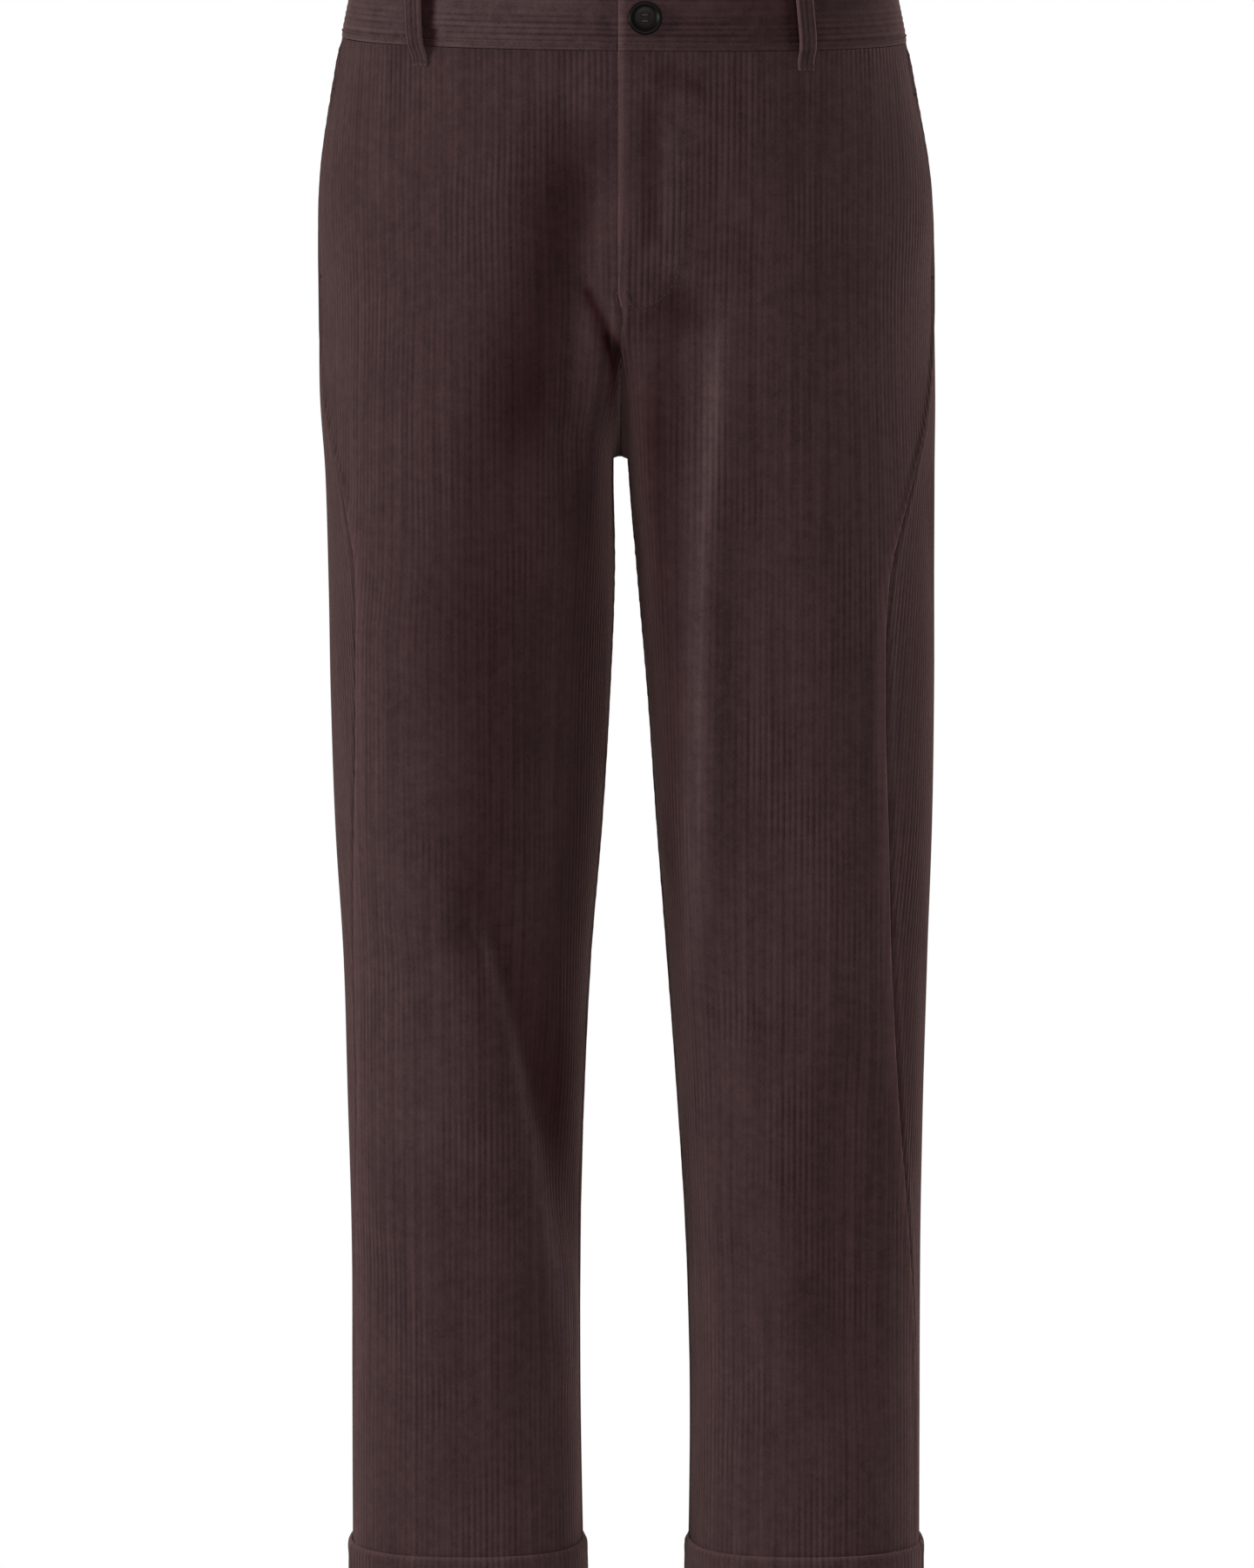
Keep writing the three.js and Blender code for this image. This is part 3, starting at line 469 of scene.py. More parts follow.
def shell_mesh(name, outer, inner, index, uv, wear_and_highlight, materials, painted_shading=0.0, stand=1.0):
    """A closed wall: the outer and inner points share one grid, index says which grid point each place of the
    grid uses, triangles with a repeated corner are left out, and edges used once get a rim."""
    a, b, c, d = index[:-1, :-1], index[:-1, 1:], index[1:, 1:], index[1:, :-1]
    faces = np.concatenate([np.stack([a, b, c], -1).reshape(-1, 3), np.stack([a, c, d], -1).reshape(-1, 3)])
    keep = (faces[:, 0] != faces[:, 1]) & (faces[:, 1] != faces[:, 2]) & (faces[:, 2] != faces[:, 0])
    faces = faces[keep]
    outer, inner = outer.reshape(-1, 3), inner.reshape(-1, 3)
    corner = outer[faces]
    flat = np.cross(corner[:, 1] - corner[:, 0], corner[:, 2] - corner[:, 0])
    out = (outer - inner)[faces].mean(1)
    if (flat * out).sum() < 0:
        faces = faces[:, ::-1]
    used, small = np.unique(faces, return_inverse=True)
    small = small.reshape(-1, 3)
    count = len(used)
    edges = np.concatenate([small[:, [0, 1]], small[:, [1, 2]], small[:, [2, 0]]])
    key = np.sort(edges, 1)
    pair = key[:, 0].astype(np.int64) * count + key[:, 1]
    _, first, times = np.unique(pair, return_index=True, return_counts=True)
    rim = edges[first[times == 1]]
    p, q = rim[:, 0], rim[:, 1]
    sides = np.concatenate([np.stack([q, p, p + count], -1), np.stack([q, p + count, q + count], -1)])
    triangles = np.concatenate([small, small[:, ::-1] + count, sides])
    points = np.concatenate([outer[used], inner[used]]) * MM
    mesh = bpy.data.meshes.new(name)
    mesh.vertices.add(len(points))
    mesh.vertices.foreach_set("co", points.ravel())
    mesh.loops.add(triangles.size)
    mesh.loops.foreach_set("vertex_index", triangles.ravel())
    mesh.polygons.add(len(triangles))
    mesh.polygons.foreach_set("loop_start", np.arange(0, triangles.size, 3))
    mesh.polygons.foreach_set("use_smooth", np.ones(len(triangles), bool))
    for material in materials:
        mesh.materials.append(material)
    which = np.zeros(len(triangles), int)
    which[len(small):2 * len(small)] = len(materials) - 1
    mesh.polygons.foreach_set("material_index", which)
    layer = mesh.uv_layers.new(name="grain")
    both = np.concatenate([uv.reshape(-1, 2)[used]] * 2)
    layer.data.foreach_set("uv", both[triangles.ravel()].ravel())
    for key, values in (("wear_and_highlight", wear_and_highlight), ("painted_shading", painted_shading), ("stand", stand)):
        layer = mesh.attributes.new(key, "FLOAT", "POINT")
        values = np.broadcast_to(values, wear_and_highlight.shape)
        layer.data.foreach_set("value", np.concatenate([values.ravel()[used]] * 2))
    mesh.update()
    mesh.validate()
    piece = bpy.data.objects.new(name, mesh)
    bpy.context.scene.collection.objects.link(piece)
    return piece


def corduroy(name, crest, groove, sheen):
    """Cut-pile cotton corduroy. Wales 3.6 mm apart stand over a dark ground; the pile is matt with a faint sheen
    at grazing angles. Painted highlight lies along seams and edges, partly rubbed pile; painted shade lies in the
    hollows and painted highlight on the ridges; the pile is mottled where worn."""
    material, tree, output = new_material(name)
    coords = put_node(tree, "ShaderNodeUVMap", {"uv_map": "grain"})
    split = put_node(tree, "ShaderNodeSeparateXYZ", links=[("Vector", coords.outputs[0])])
    place = put_node(tree, "ShaderNodeTexCoord")
    turn = put_node(tree, "ShaderNodeMath", {"operation": "MULTIPLY"}, [(0, split.outputs[0])])
    turn.inputs[1].default_value = math.pi
    wave = put_node(tree, "ShaderNodeMath", {"operation": "COSINE"}, [(0, turn.outputs[0])])
    ridge = put_node(tree, "ShaderNodeMath", {"operation": "ABSOLUTE"}, [(0, wave.outputs[0])])
    # the pile's tufts: short streaks along the wale, about 0.7 mm wide and 2 mm long
    stretch = put_node(tree, "ShaderNodeMapping", links=[("Vector", coords.outputs[0])])
    stretch.inputs["Scale"].default_value = (5.0, 1.8, 1.0)
    tufts = put_node(tree, "ShaderNodeTexNoise", links=[("Vector", stretch.outputs[0])], Scale=1.0, Detail=3.0)
    # how the pile lies: patches some 40 mm across
    lay = put_node(tree, "ShaderNodeTexNoise", links=[("Vector", place.outputs["Object"])], Scale=24.0,
                   Detail=2.0)
    # single wales stand a little higher or lower than the next
    wale_by_wale = put_node(tree, "ShaderNodeMapping", links=[("Vector", coords.outputs[0])])
    wale_by_wale.inputs["Scale"].default_value = (0.9, 0.02, 1.0)
    uneven = put_node(tree, "ShaderNodeTexNoise", links=[("Vector", wale_by_wale.outputs[0])], Scale=1.0,
                      Detail=1.0)
    # painted highlight along seams and edges, partly rubbed pile
    wear_and_highlight = put_node(tree, "ShaderNodeAttribute", {"attribute_name": "wear_and_highlight"})
    # painted shade and painted highlight, from the panels' attribute
    painted_shading = put_node(tree, "ShaderNodeAttribute", {"attribute_name": "painted_shading"})

    def weigh(source, factor, add):
        """source * factor + add"""
        node = put_node(tree, "ShaderNodeMath", {"operation": "MULTIPLY_ADD"}, [(0, source)])
        node.inputs[1].default_value, node.inputs[2].default_value = factor, add
        return node.outputs[0]

    def total(*sources):
        """Sum of the sources"""
        result = sources[0]
        for source in sources[1:]:
            result = put_node(tree, "ShaderNodeMath", {"operation": "ADD"}, [(0, result), (1, source)]).outputs[0]
        return result

    # the wales stand out in some places and are flattened in others
    stand = put_node(tree, "ShaderNodeAttribute", {"attribute_name": "stand"})
    patch = put_node(tree, "ShaderNodeTexNoise", links=[("Vector", place.outputs["Object"])], Scale=30.0,
                     Detail=3.0)
    upright = put_node(tree, "ShaderNodeMath", {"operation": "MULTIPLY", "use_clamp": True},
                       [(0, weigh(patch.outputs["Fac"], 3.6, -1.0)), (1, stand.outputs["Fac"])])
    shown = put_node(tree, "ShaderNodeMath", {"operation": "MULTIPLY"},
                     [(0, weigh(ridge.outputs[0], 1.0, -0.62)), (1, upright.outputs[0])])
    # mottling of the worn pile, some 6 mm across
    mottle = put_node(tree, "ShaderNodeTexNoise", links=[("Vector", place.outputs["Object"])], Scale=170.0,
                      Detail=2.0)
    height = total(weigh(shown.outputs[0], 0.55, 0.5), weigh(tufts.outputs["Fac"], 1.0, -0.5),
                   weigh(lay.outputs["Fac"], 0.5, -0.25), weigh(uneven.outputs["Fac"], 0.9, -0.45),
                   weigh(mottle.outputs["Fac"], 0.8, -0.4))
    ramp = put_node(tree, "ShaderNodeValToRGB", links=[("Fac", height)])
    ramp.color_ramp.elements[0].position, ramp.color_ramp.elements[1].position = 0.05, 0.95
    ramp.color_ramp.elements[0].color = (*linear(groove), 1)
    ramp.color_ramp.elements[1].color = (*linear(crest), 1)
    # 1 + painted shading, less in red: painted shade makes the colour darker and fuller, painted highlight paler
    shade = put_node(tree, "ShaderNodeVectorMath", {"operation": "MULTIPLY_ADD"}, [(0, painted_shading.outputs["Fac"])])
    shade.inputs[1].default_value, shade.inputs[2].default_value = (0.92, 1.3, 1.24), (1, 1, 1)
    painted_shaded = put_node(tree, "ShaderNodeVectorMath", {"operation": "MULTIPLY"},
                       [(0, ramp.outputs[0]), (1, shade.outputs[0])])
    # a pale brown added where the attribute above is set: painted highlight, partly rubbed pile
    highlighted = put_node(tree, "ShaderNodeMix", {"data_type": "RGBA", "blend_type": "ADD"},
                      [("Factor", wear_and_highlight.outputs["Fac"]), (6, painted_shaded.outputs[0])])
    highlighted.inputs[7].default_value = (*linear("#3a2a29"), 1)
    rib = put_node(tree, "ShaderNodeMath", {"operation": "MULTIPLY"},
                   [(0, ridge.outputs[0]), (1, weigh(upright.outputs[0], 0.6, 0.1))])
    relief = total(rib.outputs[0], weigh(tufts.outputs["Fac"], 0.8, 0.0), weigh(mottle.outputs["Fac"], 0.8, 0.0))
    bump = put_node(tree, "ShaderNodeBump", links=[("Height", relief)], Strength=0.55, Distance=0.0006)
    shader = put_node(tree, "ShaderNodeBsdfPrincipled",
                      links=[("Base Color", highlighted.outputs[2]), ("Normal", bump.outputs[0])], Roughness=0.92)
    shader.inputs["Specular IOR Level"].default_value = 0.12
    shader.inputs["Sheen Weight"].default_value = sheen
    shader.inputs["Sheen Roughness"].default_value = 0.45
    shader.inputs["Sheen Tint"].default_value = (*linear("#b8958f"), 1)
    tree.links.new(output.inputs["Surface"], shader.outputs[0])
    return material


def wrong_side(name, colour):
    """The plain woven back of the cloth: a fine twill, 0.8 mm between its ribs so that it shows, with no pile."""
    material, tree, output = new_material(name)
    coords = put_node(tree, "ShaderNodeTexCoord")
    turned = put_node(tree, "ShaderNodeMapping", links=[("Vector", coords.outputs["Object"])])
    turned.inputs["Rotation"].default_value = (0.6, 0.7, 0.2)
    twill = put_node(tree, "ShaderNodeTexWave", links=[("Vector", turned.outputs[0])], Scale=200.0,
                     Distortion=1.5)
    ramp = put_node(tree, "ShaderNodeValToRGB", links=[("Fac", twill.outputs["Fac"])])
    base = linear(colour)
    ramp.color_ramp.elements[0].color = (*[c * 0.75 for c in base], 1)
    ramp.color_ramp.elements[1].color = (*[c * 1.15 for c in base], 1)
    bump = put_node(tree, "ShaderNodeBump", links=[("Height", twill.outputs["Fac"])], Strength=0.3,
                    Distance=0.0003)
    shader = put_node(tree, "ShaderNodeBsdfPrincipled",
                      links=[("Base Color", ramp.outputs[0]), ("Normal", bump.outputs[0])], Roughness=0.9)
    shader.inputs["Specular IOR Level"].default_value = 0.15
    tree.links.new(output.inputs["Surface"], shader.outputs[0])
    return material


# The pile gives the eye its soft dark brown and the upright ribs; its back a plain, duller brown.
LEG_CORDUROY = corduroy("cut pile cotton corduroy", "#513b3c", "#362527", 0.5)
CLOTH_BACK = wrong_side("plain back of the corduroy", "#2e2223")

HIP_ROWS, CROTCH_ROWS, THIGH_ROWS, LEG_ROWS = 24, 28, 12, 70
THIGH_END_Z = -342
THIGH_START_DROP = 1.2


def panel_levels():
    """Heights of the rows: even over the hip, crowded like 1 - cos towards the crotch point, even below it."""
    top = BAND_BOTTOM - BAND_SEAM_GAP
    quarter = np.linspace(0, np.pi / 2, CROTCH_ROWS + 1)[1:]
    return np.concatenate([
        np.linspace(top, FRONT_CURVE_Z, HIP_ROWS),
        mix(FRONT_CURVE_Z, CROTCH_Z, np.sin(quarter)),
        np.linspace(CROTCH_Z - THIGH_START_DROP, THIGH_END_Z, THIGH_ROWS),
        np.linspace(THIGH_END_Z, HEM_Z, LEG_ROWS)[1:],
    ])


GRAIN_X = {1: 104.7, -1: -96.8}
FINE = 700


def ease(u):
    """0 to 1 with both ends slow: u * u * (3 - 2 u)."""
    return u * u * (3 - 2 * u)


def grain_grid(side, facing, levels):
    """Angles of the grid. On each level the arc length s is measured both ways from the grain line, which hangs
    straight down at one x; column k lies at s = k * wale / 4, and beyond the panel's edges at the edge."""
    middle = facing * np.pi / 2
    ends = [seam_angle(side, levels) * np.ones(len(levels)), np.full(len(levels), facing * np.pi)]
    u = ease(np.linspace(0, 1, FINE))[None, :]
    angle = np.concatenate([mix(ends[0][:, None], middle, u), mix(middle, ends[1][:, None], u)[:, 1:]], 1)
    points = form(side, angle, levels[:, None])
    length = np.linalg.norm(np.diff(points, axis=1), axis=2)
    run = np.concatenate([np.zeros((len(levels), 1)), np.cumsum(length, 1)], 1)
    zero = np.array([np.interp(-side * GRAIN_X[side], -side * x, r) for x, r in zip(points[..., 0], run)])
    run = run - zero[:, None]
    pitch = WALE / WALE_SAMPLES
    low, high = run[:, 0], run[:, -1]
    columns = np.arange(math.floor(low.min() / pitch), math.ceil(high.max() / pitch) + 1)
    s = np.clip(columns[None, :] * pitch, low[:, None], high[:, None])
    found = np.array([np.interp(row, r, a) for row, r, a in zip(s, run, angle)])
    rows, count = len(levels), len(columns)
    inside_low = np.ceil(low / pitch - 0.35).astype(int) - columns[0]
    inside_high = np.floor(high / pitch + 0.35).astype(int) - columns[0]
    first, last = (inside_low - 1)[:, None].clip(0), (inside_high + 1)[:, None].clip(None, count - 1)
    place = np.clip(np.arange(count)[None, :], first, last)
    index = np.arange(rows)[:, None] * count + place
    s = np.where(place == first, low[:, None], np.where(place == last, high[:, None], s))
    found = np.where(place == first, ends[0][:, None], np.where(place == last, ends[1][:, None], found))
    return found, s, low[:, None], high[:, None], index


SIDE_RIDGE = {1: 1.7, -1: 0.5}
MIDDLE_RIDGE = 1.2


def seam_ridge(distance):
    """Cloth beside a seam: raised over the allowance underneath, rolled in at the stitches."""
    return np.exp(-((distance - 3.6) / 3.0) ** 2) - 0.9 * np.exp(-((distance / 1.3) ** 2))


def leg_panel(name, side, facing):
    """One panel: form + outward * (folds + fly or pocket lift + seam ridge + wale), and a plain inner side."""
    levels = panel_levels()
    angle, s, low, high, index = grain_grid(side, facing, levels)
    z = np.broadcast_to(levels[:, None], angle.shape)
    around = np.minimum(1, np.abs(angle) / np.pi)
    share = (angle - angle[:, :1]) / (angle[:, -1:] - angle[:, :1])
    normal = outward(side, angle, z)
    height = drape(side, angle, z)
    shift = np.zeros(angle.shape)
    mouth = np.zeros(angle.shape)
    if facing > 0:
        height = height + fly_lift(side, around, z)
        mouth = step(POCKET_TOP, POCKET_TOP - 30, z) * step(POCKET_BOTTOM, POCKET_BOTTOM + 30, z)
        height = height + POCKET_LIFT * mouth * step(0.22, 0, share)
        shift = fly_shift(side, levels)[:, None] * step(0.9, 1, around)
    from_seam, from_middle = s - low, high - s
    fly = (facing > 0) * step(FLY_BLEND_Z, FLY_END_Z, z)
    side_height = SIDE_RIDGE[facing] * (1 - 0.7 * mouth)
    ridge = side_height * seam_ridge(from_seam) + MIDDLE_RIDGE * seam_ridge(from_middle) * (1 - fly)
    ridge = ridge * step(levels[0], levels[0] - 6, z)
    edge_roll = -0.5 * np.exp(-((from_middle / 1.6) ** 2)) * fly * (side > 0)
    stand = standing(s, z, 2 * side + facing)
    pile = (wale_profile(s / WALE) - 0.55) * WALE_HEIGHT * mix(0.45, 1, stand)
    base = form(side, angle, z)
    base[..., 0] += shift
    last = index[:, -1:] % index.shape[1]
    at_middle = (np.arange(angle.shape[1])[None, :] >= last) & (z >= CROTCH_Z)
    middle_x = CENTRE_X + side * SEAM_GAP / 2 + (fly_shift(side, levels)[:, None] if facing > 0 else 0)
    outer = base + normal * (height + ridge + edge_roll + pile)[..., None]
    inner = base + normal * (height - CLOTH)[..., None]
    for wall in (outer, inner):
        wall[..., 0] = np.where(at_middle, middle_x, wall[..., 0])
    gap = SEAM_GAP / 2
    below = z < CROTCH_Z
    edges = [(np.arange(angle.shape[1])[None, :] <= index[:, :1] % index.shape[1], 1),
             ((np.arange(angle.shape[1])[None, :] >= last) & below, -1)]
    for wall in (outer, inner):
        tangent = np.gradient(base, axis=1)
        tangent /= np.maximum(np.linalg.norm(tangent, axis=2, keepdims=True), 1e-9)
        for where, sign in edges:
            wall += np.where(where[..., None], tangent * sign * gap, 0)
    # painted highlight along the fronts' side seams, stronger below the crotch, along the fly's edge and the middle
    # seam, partly rubbed pile
    side_highlight_and_wear = (facing > 0) * mix(0.1, 0.85, step(-292, -352, z)) * np.exp(-(((from_seam - 4.2) / 4.4) ** 2))
    middle_highlight_and_wear = np.where(fly > 0, (side > 0) * 0.85 * np.exp(-((from_middle / 2.8) ** 2)),
                           0.3 * np.exp(-(((from_middle - 3) / 2.2) ** 2)) * (step(-243, -218, z) if side < 0 else 1))
    wear_and_highlight = side_highlight_and_wear + middle_highlight_and_wear
    uv = np.stack([s / WALE, -z / WALE], -1)
    # painted shade in the hollows and painted highlight on the ridges of the folds
    painted_shading = fold_height(PAINTED_SHADING, angle, base[..., 0], z, PAINTED_SHADING_REACH)
    piece = shell_mesh(name, outer, inner, index, uv, wear_and_highlight, [LEG_CORDUROY, CLOTH_BACK], painted_shading, stand)
    width = float((high - low).max()) * MM
    length = float(levels[0] - levels[-1]) * MM
    area = float(np.trapz((high - low)[:, 0], -levels)) * MM * MM
    return piece, (width, length), area


for word, side in (("left", 1), ("right", -1)):
    for face, facing in (("front", 1), ("back", -1)):
        node = f"{face}_{word}"
        piece, flat, area = leg_panel(f"{node}_cloth", side, facing)
        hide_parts(node)
        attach(piece, "root")

# Turn-ups
# The end of each leg is folded up outside by 44 mm and pressed, so its wales carry on from the leg's. Its free
# edge stands off the leg a little and carries a painted highlight, partly rubbed pile; the fold below is round
# and soft.

TURNUP_WAIST_ROWS, TURNUP_FOLD_ROWS, TURNUP_UNDER_ROWS = 20, 6, 3


def turnup_path():
    """Rows of the wall, outside then inside: heights and distances from the form. Down the outside it stands
    2.7 to 3.0 mm off, turns a quarter ellipse under the fold and runs under the hem."""
    down = np.linspace(0, 1, TURNUP_WAIST_ROWS)
    z, out = mix(TURNUP_TOP, TURNUP_BOTTOM + 2.2, down), 2.7 + 0.3 * np.sin(np.pi * down)
    turn = np.linspace(0, np.pi / 2, TURNUP_FOLD_ROWS)[1:]
    z = np.concatenate([z, TURNUP_BOTTOM + 2.2 - 2.2 * np.sin(turn)])
    out = np.concatenate([out, 2.7 - 1.7 * (1 - np.cos(turn))])
    under = np.linspace(0, 1, TURNUP_UNDER_ROWS + 1)[1:]
    z = np.concatenate([z, np.full(TURNUP_UNDER_ROWS, TURNUP_BOTTOM)])
    out = np.concatenate([out, mix(1.0, -CLOTH, under)])
    inner_z = np.maximum(z, HEM_Z - SEAM_GAP)
    inner_out = np.minimum(0.4, out - 0.9)
    inner_out[-TURNUP_UNDER_ROWS:] = out[-TURNUP_UNDER_ROWS:]
    return z, out, inner_z, inner_out


def turnup(name, side, facing):
    """One half of a turn-up: form + outward * (path + wale + roll of its free edge and seams)."""
    z, out, inner_z, inner_out = turnup_path()
    angle, s, low, high, index = grain_grid(side, facing, z)
    level = np.broadcast_to(z[:, None], angle.shape)
    from_edge = TURNUP_TOP - z[:, None]
    stand = standing(s, level, 2 * side + facing)
    pile = (wale_profile(s / WALE) - 0.55) * WALE_HEIGHT * mix(0.45, 1, stand)
    pile = pile * step(TURNUP_BOTTOM, TURNUP_BOTTOM + 3, level)
    roll = -0.9 * np.exp(-((from_edge / 1.3) ** 2)) + 0.35 * np.exp(-(((from_edge - 5) / 3.5) ** 2))
    sag = 0.5 * np.sin(s / 31 + 2 * side + facing) * step(0, 12, from_edge)
    ridge = (seam_ridge(s - low) + seam_ridge(high - s)) * step(TURNUP_BOTTOM, TURNUP_BOTTOM + 4, level)
    outer = form(side, angle, level) + outward(side, angle, level) * (
        out[:, None] + pile + roll + sag + 0.6 * ridge)[..., None]
    inner_level = np.broadcast_to(inner_z[:, None], angle.shape)
    inner = form(side, angle, inner_level) + outward(side, angle, inner_level) * inner_out[:, None, None]
    # painted highlight along the free edge and a fainter one along the fold, partly rubbed pile
    wear_and_highlight = 1.1 * np.exp(-((from_edge / 1.6) ** 2)) + 0.3 * np.exp(-(((level - TURNUP_BOTTOM) / 2.5) ** 2)) + 0 * s
    uv = np.stack([s / WALE, -level / WALE], -1)
    piece = shell_mesh(name, outer, inner, index, uv, wear_and_highlight, [LEG_CORDUROY, CLOTH_BACK], stand=stand)
    return piece, (float((high - low).max()) * MM, (TURNUP_TOP - TURNUP_BOTTOM + 3) * MM)


for word, side in (("left", 1), ("right", -1)):
    for face, facing in (("front", 1), ("back", -1)):
        node = f"turnup_{face}_{word}"
        piece, flat = turnup(f"{node}_cloth", side, facing)
        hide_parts(node)
        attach(piece, "root")

# Waistband
# A straight strip of the same corduroy, folded double and sewn along the top of the legs, with its wales
# running round the waist. The wearer's left half ends flush with the fly and laps over the right one.

BAND_CLOTH = 2.6
BAND_PROUD = 0.8
STEP_IN = 3.0
BAND_ROWS = 57
BAND_COLUMN = 3.6
BAND_WALE = 3.5
BAND_MIDDLE = (BAND_TOP + BAND_BOTTOM) / 2
# The same pile, a shade paler, as rubbed by a belt.
BAND_CORDUROY = corduroy("waistband corduroy", "#543e3f", "#322324", 0.5)


# Painted light on the front of the band: paler towards the wearer's right, where the light falls, darker
# towards the wearer's left: x and share.
BAND_PAINTED_SHADING = [(-170, 0.10), (-125, 0.34), (-90, 0.36), (-50, 0.18), (-8, 0.06), (8, -0.04), (40, -0.16), (90, -0.22),
            (130, -0.12), (170, 0.0)]

# Belt loops: name, facing, x at the top and x at the bottom; and their width.
LOOPS = [("loop_front_left", 1, 102.5, 107), ("loop_front_right", 1, -123, -121.5), ("loop_side_left", -1, 127, 129),
         ("loop_side_right", -1, -127, -129), ("loop_back", -1, CENTRE_X, CENTRE_X)]
LOOP_WIDTH = 10.5


def even_angles(side, start, end, z, spacing):
    """Angles from start to end whose points lie about spacing apart along the form at height z."""
    fine = np.linspace(start, end, 900)
    points = form(side, fine, z)
    run = np.concatenate([[0], np.cumsum(np.linalg.norm(np.diff(points, axis=0), axis=1))])
    return np.interp(np.linspace(0, run[-1], int(round(run[-1] / spacing)) + 1), run, fine), run[-1]


def band_part(side, angles, out, shift):
    """Outer and inner points of a stretch of band: form + outward * (out + proud + wale + edge roll)."""
    z = np.linspace(BAND_TOP, BAND_BOTTOM, BAND_ROWS)[:, None]
    angle = np.broadcast_to(angles[None, :], (BAND_ROWS, len(angles)))
    level = np.broadcast_to(z, angle.shape)
    from_top, from_seam = BAND_TOP - level, level - BAND_BOTTOM
    base, normal = form(side, angle, level), outward(side, angle, level)
    base[..., 0] += shift
    pile = (wale_profile(from_seam / BAND_WALE) - 0.55) * 0.5 * mix(0.15, 1.0, step(25, 12, from_seam))
    roll = -1.0 * np.exp(-((from_top / 1.4) ** 2)) - 0.7 * np.exp(-((from_seam / 1.2) ** 2))
    stitched = -0.5 * np.exp(-(((from_seam - 3.4) / 0.8) ** 2))
    pucker = 0.16 * np.sin(angle * 61 + 3 * side) * np.exp(-((from_seam / 8) ** 2))
    top_roll = -0.8 * np.exp(-((from_top / 1.4) ** 2))
    outer = base + normal * (out + BAND_PROUD + pile + roll + stitched + pucker)[..., None]
    inner = base + normal * (out + BAND_PROUD - BAND_CLOTH - top_roll)[..., None]
    return outer, inner


def waistband(name, side):
    """One half of the band; the right half steps in by 3 mm and goes on behind the left half's end."""
    if side > 0:
        angles, length = even_angles(1, -np.pi, np.pi, BAND_MIDDLE, BAND_COLUMN)
        around = np.where(angles > 0, angles / np.pi, 0)
        outer, inner = band_part(1, angles, 0, (FLY_EDGE_X - CENTRE_X) * step(0.9, 1, around))
        end_roll = around
    else:
        angles, length = even_angles(-1, -np.pi, 0.995 * np.pi, BAND_MIDDLE, BAND_COLUMN)
        around = np.where(angles > 0, angles / np.pi, 0)
        first = band_part(-1, angles, -STEP_IN * step(0.8, 0.91, around), 0)
        hidden, more = even_angles(1, 0.995 * np.pi, np.pi * 8 / 12, BAND_MIDDLE, BAND_COLUMN)
        second = band_part(1, hidden, -STEP_IN, 0)
        outer, inner = (np.concatenate(pair, 1) for pair in zip(first, second))
        length += more
        end_roll = np.zeros(outer.shape[1])
    s = np.arange(outer.shape[1]) * BAND_COLUMN
    for wall in (outer, inner):
        for end, inside in ((0, 1), (-1, -2)):
            direction = wall[:, inside] - wall[:, end]
            direction /= np.linalg.norm(direction, axis=1, keepdims=True)
            wall[:, end] += direction * SEAM_GAP / 2
    from_top = np.broadcast_to(np.linspace(0, BAND_TOP - BAND_BOTTOM, BAND_ROWS)[:, None], outer.shape[:2])
    from_seam = BAND_TOP - BAND_BOTTOM - from_top
    # painted highlight along the band's top and seam edges and down the left half's end at the fly, partly rubbed pile
    wear_and_highlight = 0.5 * np.exp(-((from_top / 1.6) ** 2)) + 0.5 * np.exp(-(((from_seam - 1.6) / 1.0) ** 2))
    wear_and_highlight = wear_and_highlight + 1.0 * step(0.992, 1, end_roll)[None, :]
    # painted light and painted shade across the band's front, from the table above
    x, front = outer[..., 0], outer[..., 1] < 0
    painted_shading = np.where(front, np.interp(x, *zip(*BAND_PAINTED_SHADING)), 0)
    # painted shade on the band beside each belt loop, where the loop shades it
    for _, facing, top_x, bottom_x in LOOPS:
        middle = mix(top_x, bottom_x, from_top / (BAND_TOP - BAND_BOTTOM))
        gap = np.abs(x - middle * 0.965) < LOOP_WIDTH / 2 - 0.6
        painted_shading = np.where((front == (facing > 0)) & gap, -0.5, painted_shading)
    uv = np.stack([from_seam / BAND_WALE, np.broadcast_to(s / BAND_WALE, from_seam.shape)], -1)
    index = np.arange(from_seam.size).reshape(from_seam.shape)
    stand = mix(0.15, 1.5, step(25, 12, from_seam)) * mix(0.6, 1.1, standing(1.6 * x, 4 * from_top, side))
    piece = shell_mesh(name, outer, inner, index, uv, wear_and_highlight, [BAND_CORDUROY, BAND_CORDUROY], painted_shading, stand)
    return piece, (float(length) * MM, (BAND_TOP - BAND_BOTTOM) * MM)


for word, side in (("left", 1), ("right", -1)):
    node = f"waistband_{word}"
    piece, flat = waistband(f"{node}_cloth", side)
    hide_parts(node)
    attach(piece, "root")

# Belt loops
# Five strips, folded to 12 mm with the edges inside and stitched along both edges, stand off the band for a
# belt. Their ends are turned under and sewn down above and below with bar tacks.

LOOP_CLOTH = 2.2
LOOP_PATH = np.array([(0.4, 1.2), (-2, 2.8), (-5, 5.2), (-10.9, 6.4), (-32.7, 6.4), (-39.6, 4.8), (-43.5, 1.7), (-46.5, 0.5),
                      (-51, 0.4)])
LOOP_ROWS, LOOP_COLUMNS = 64, 25


def angle_at_x(side, facing, x, z):
    """The angle on a side and face at which the form reaches x, by halving the range forty times."""
    x, z = np.broadcast_arrays(np.asarray(x, float), np.asarray(z, float))
    low, high = np.zeros(x.shape), np.full(x.shape, np.pi)
    for _ in range(40):
        mid = (low + high) / 2
        beyond = side * form(side, facing * mid, z)[..., 0] > side * x
        low, high = np.where(beyond, mid, low), np.where(beyond, high, mid)
    return facing * (low + high) / 2


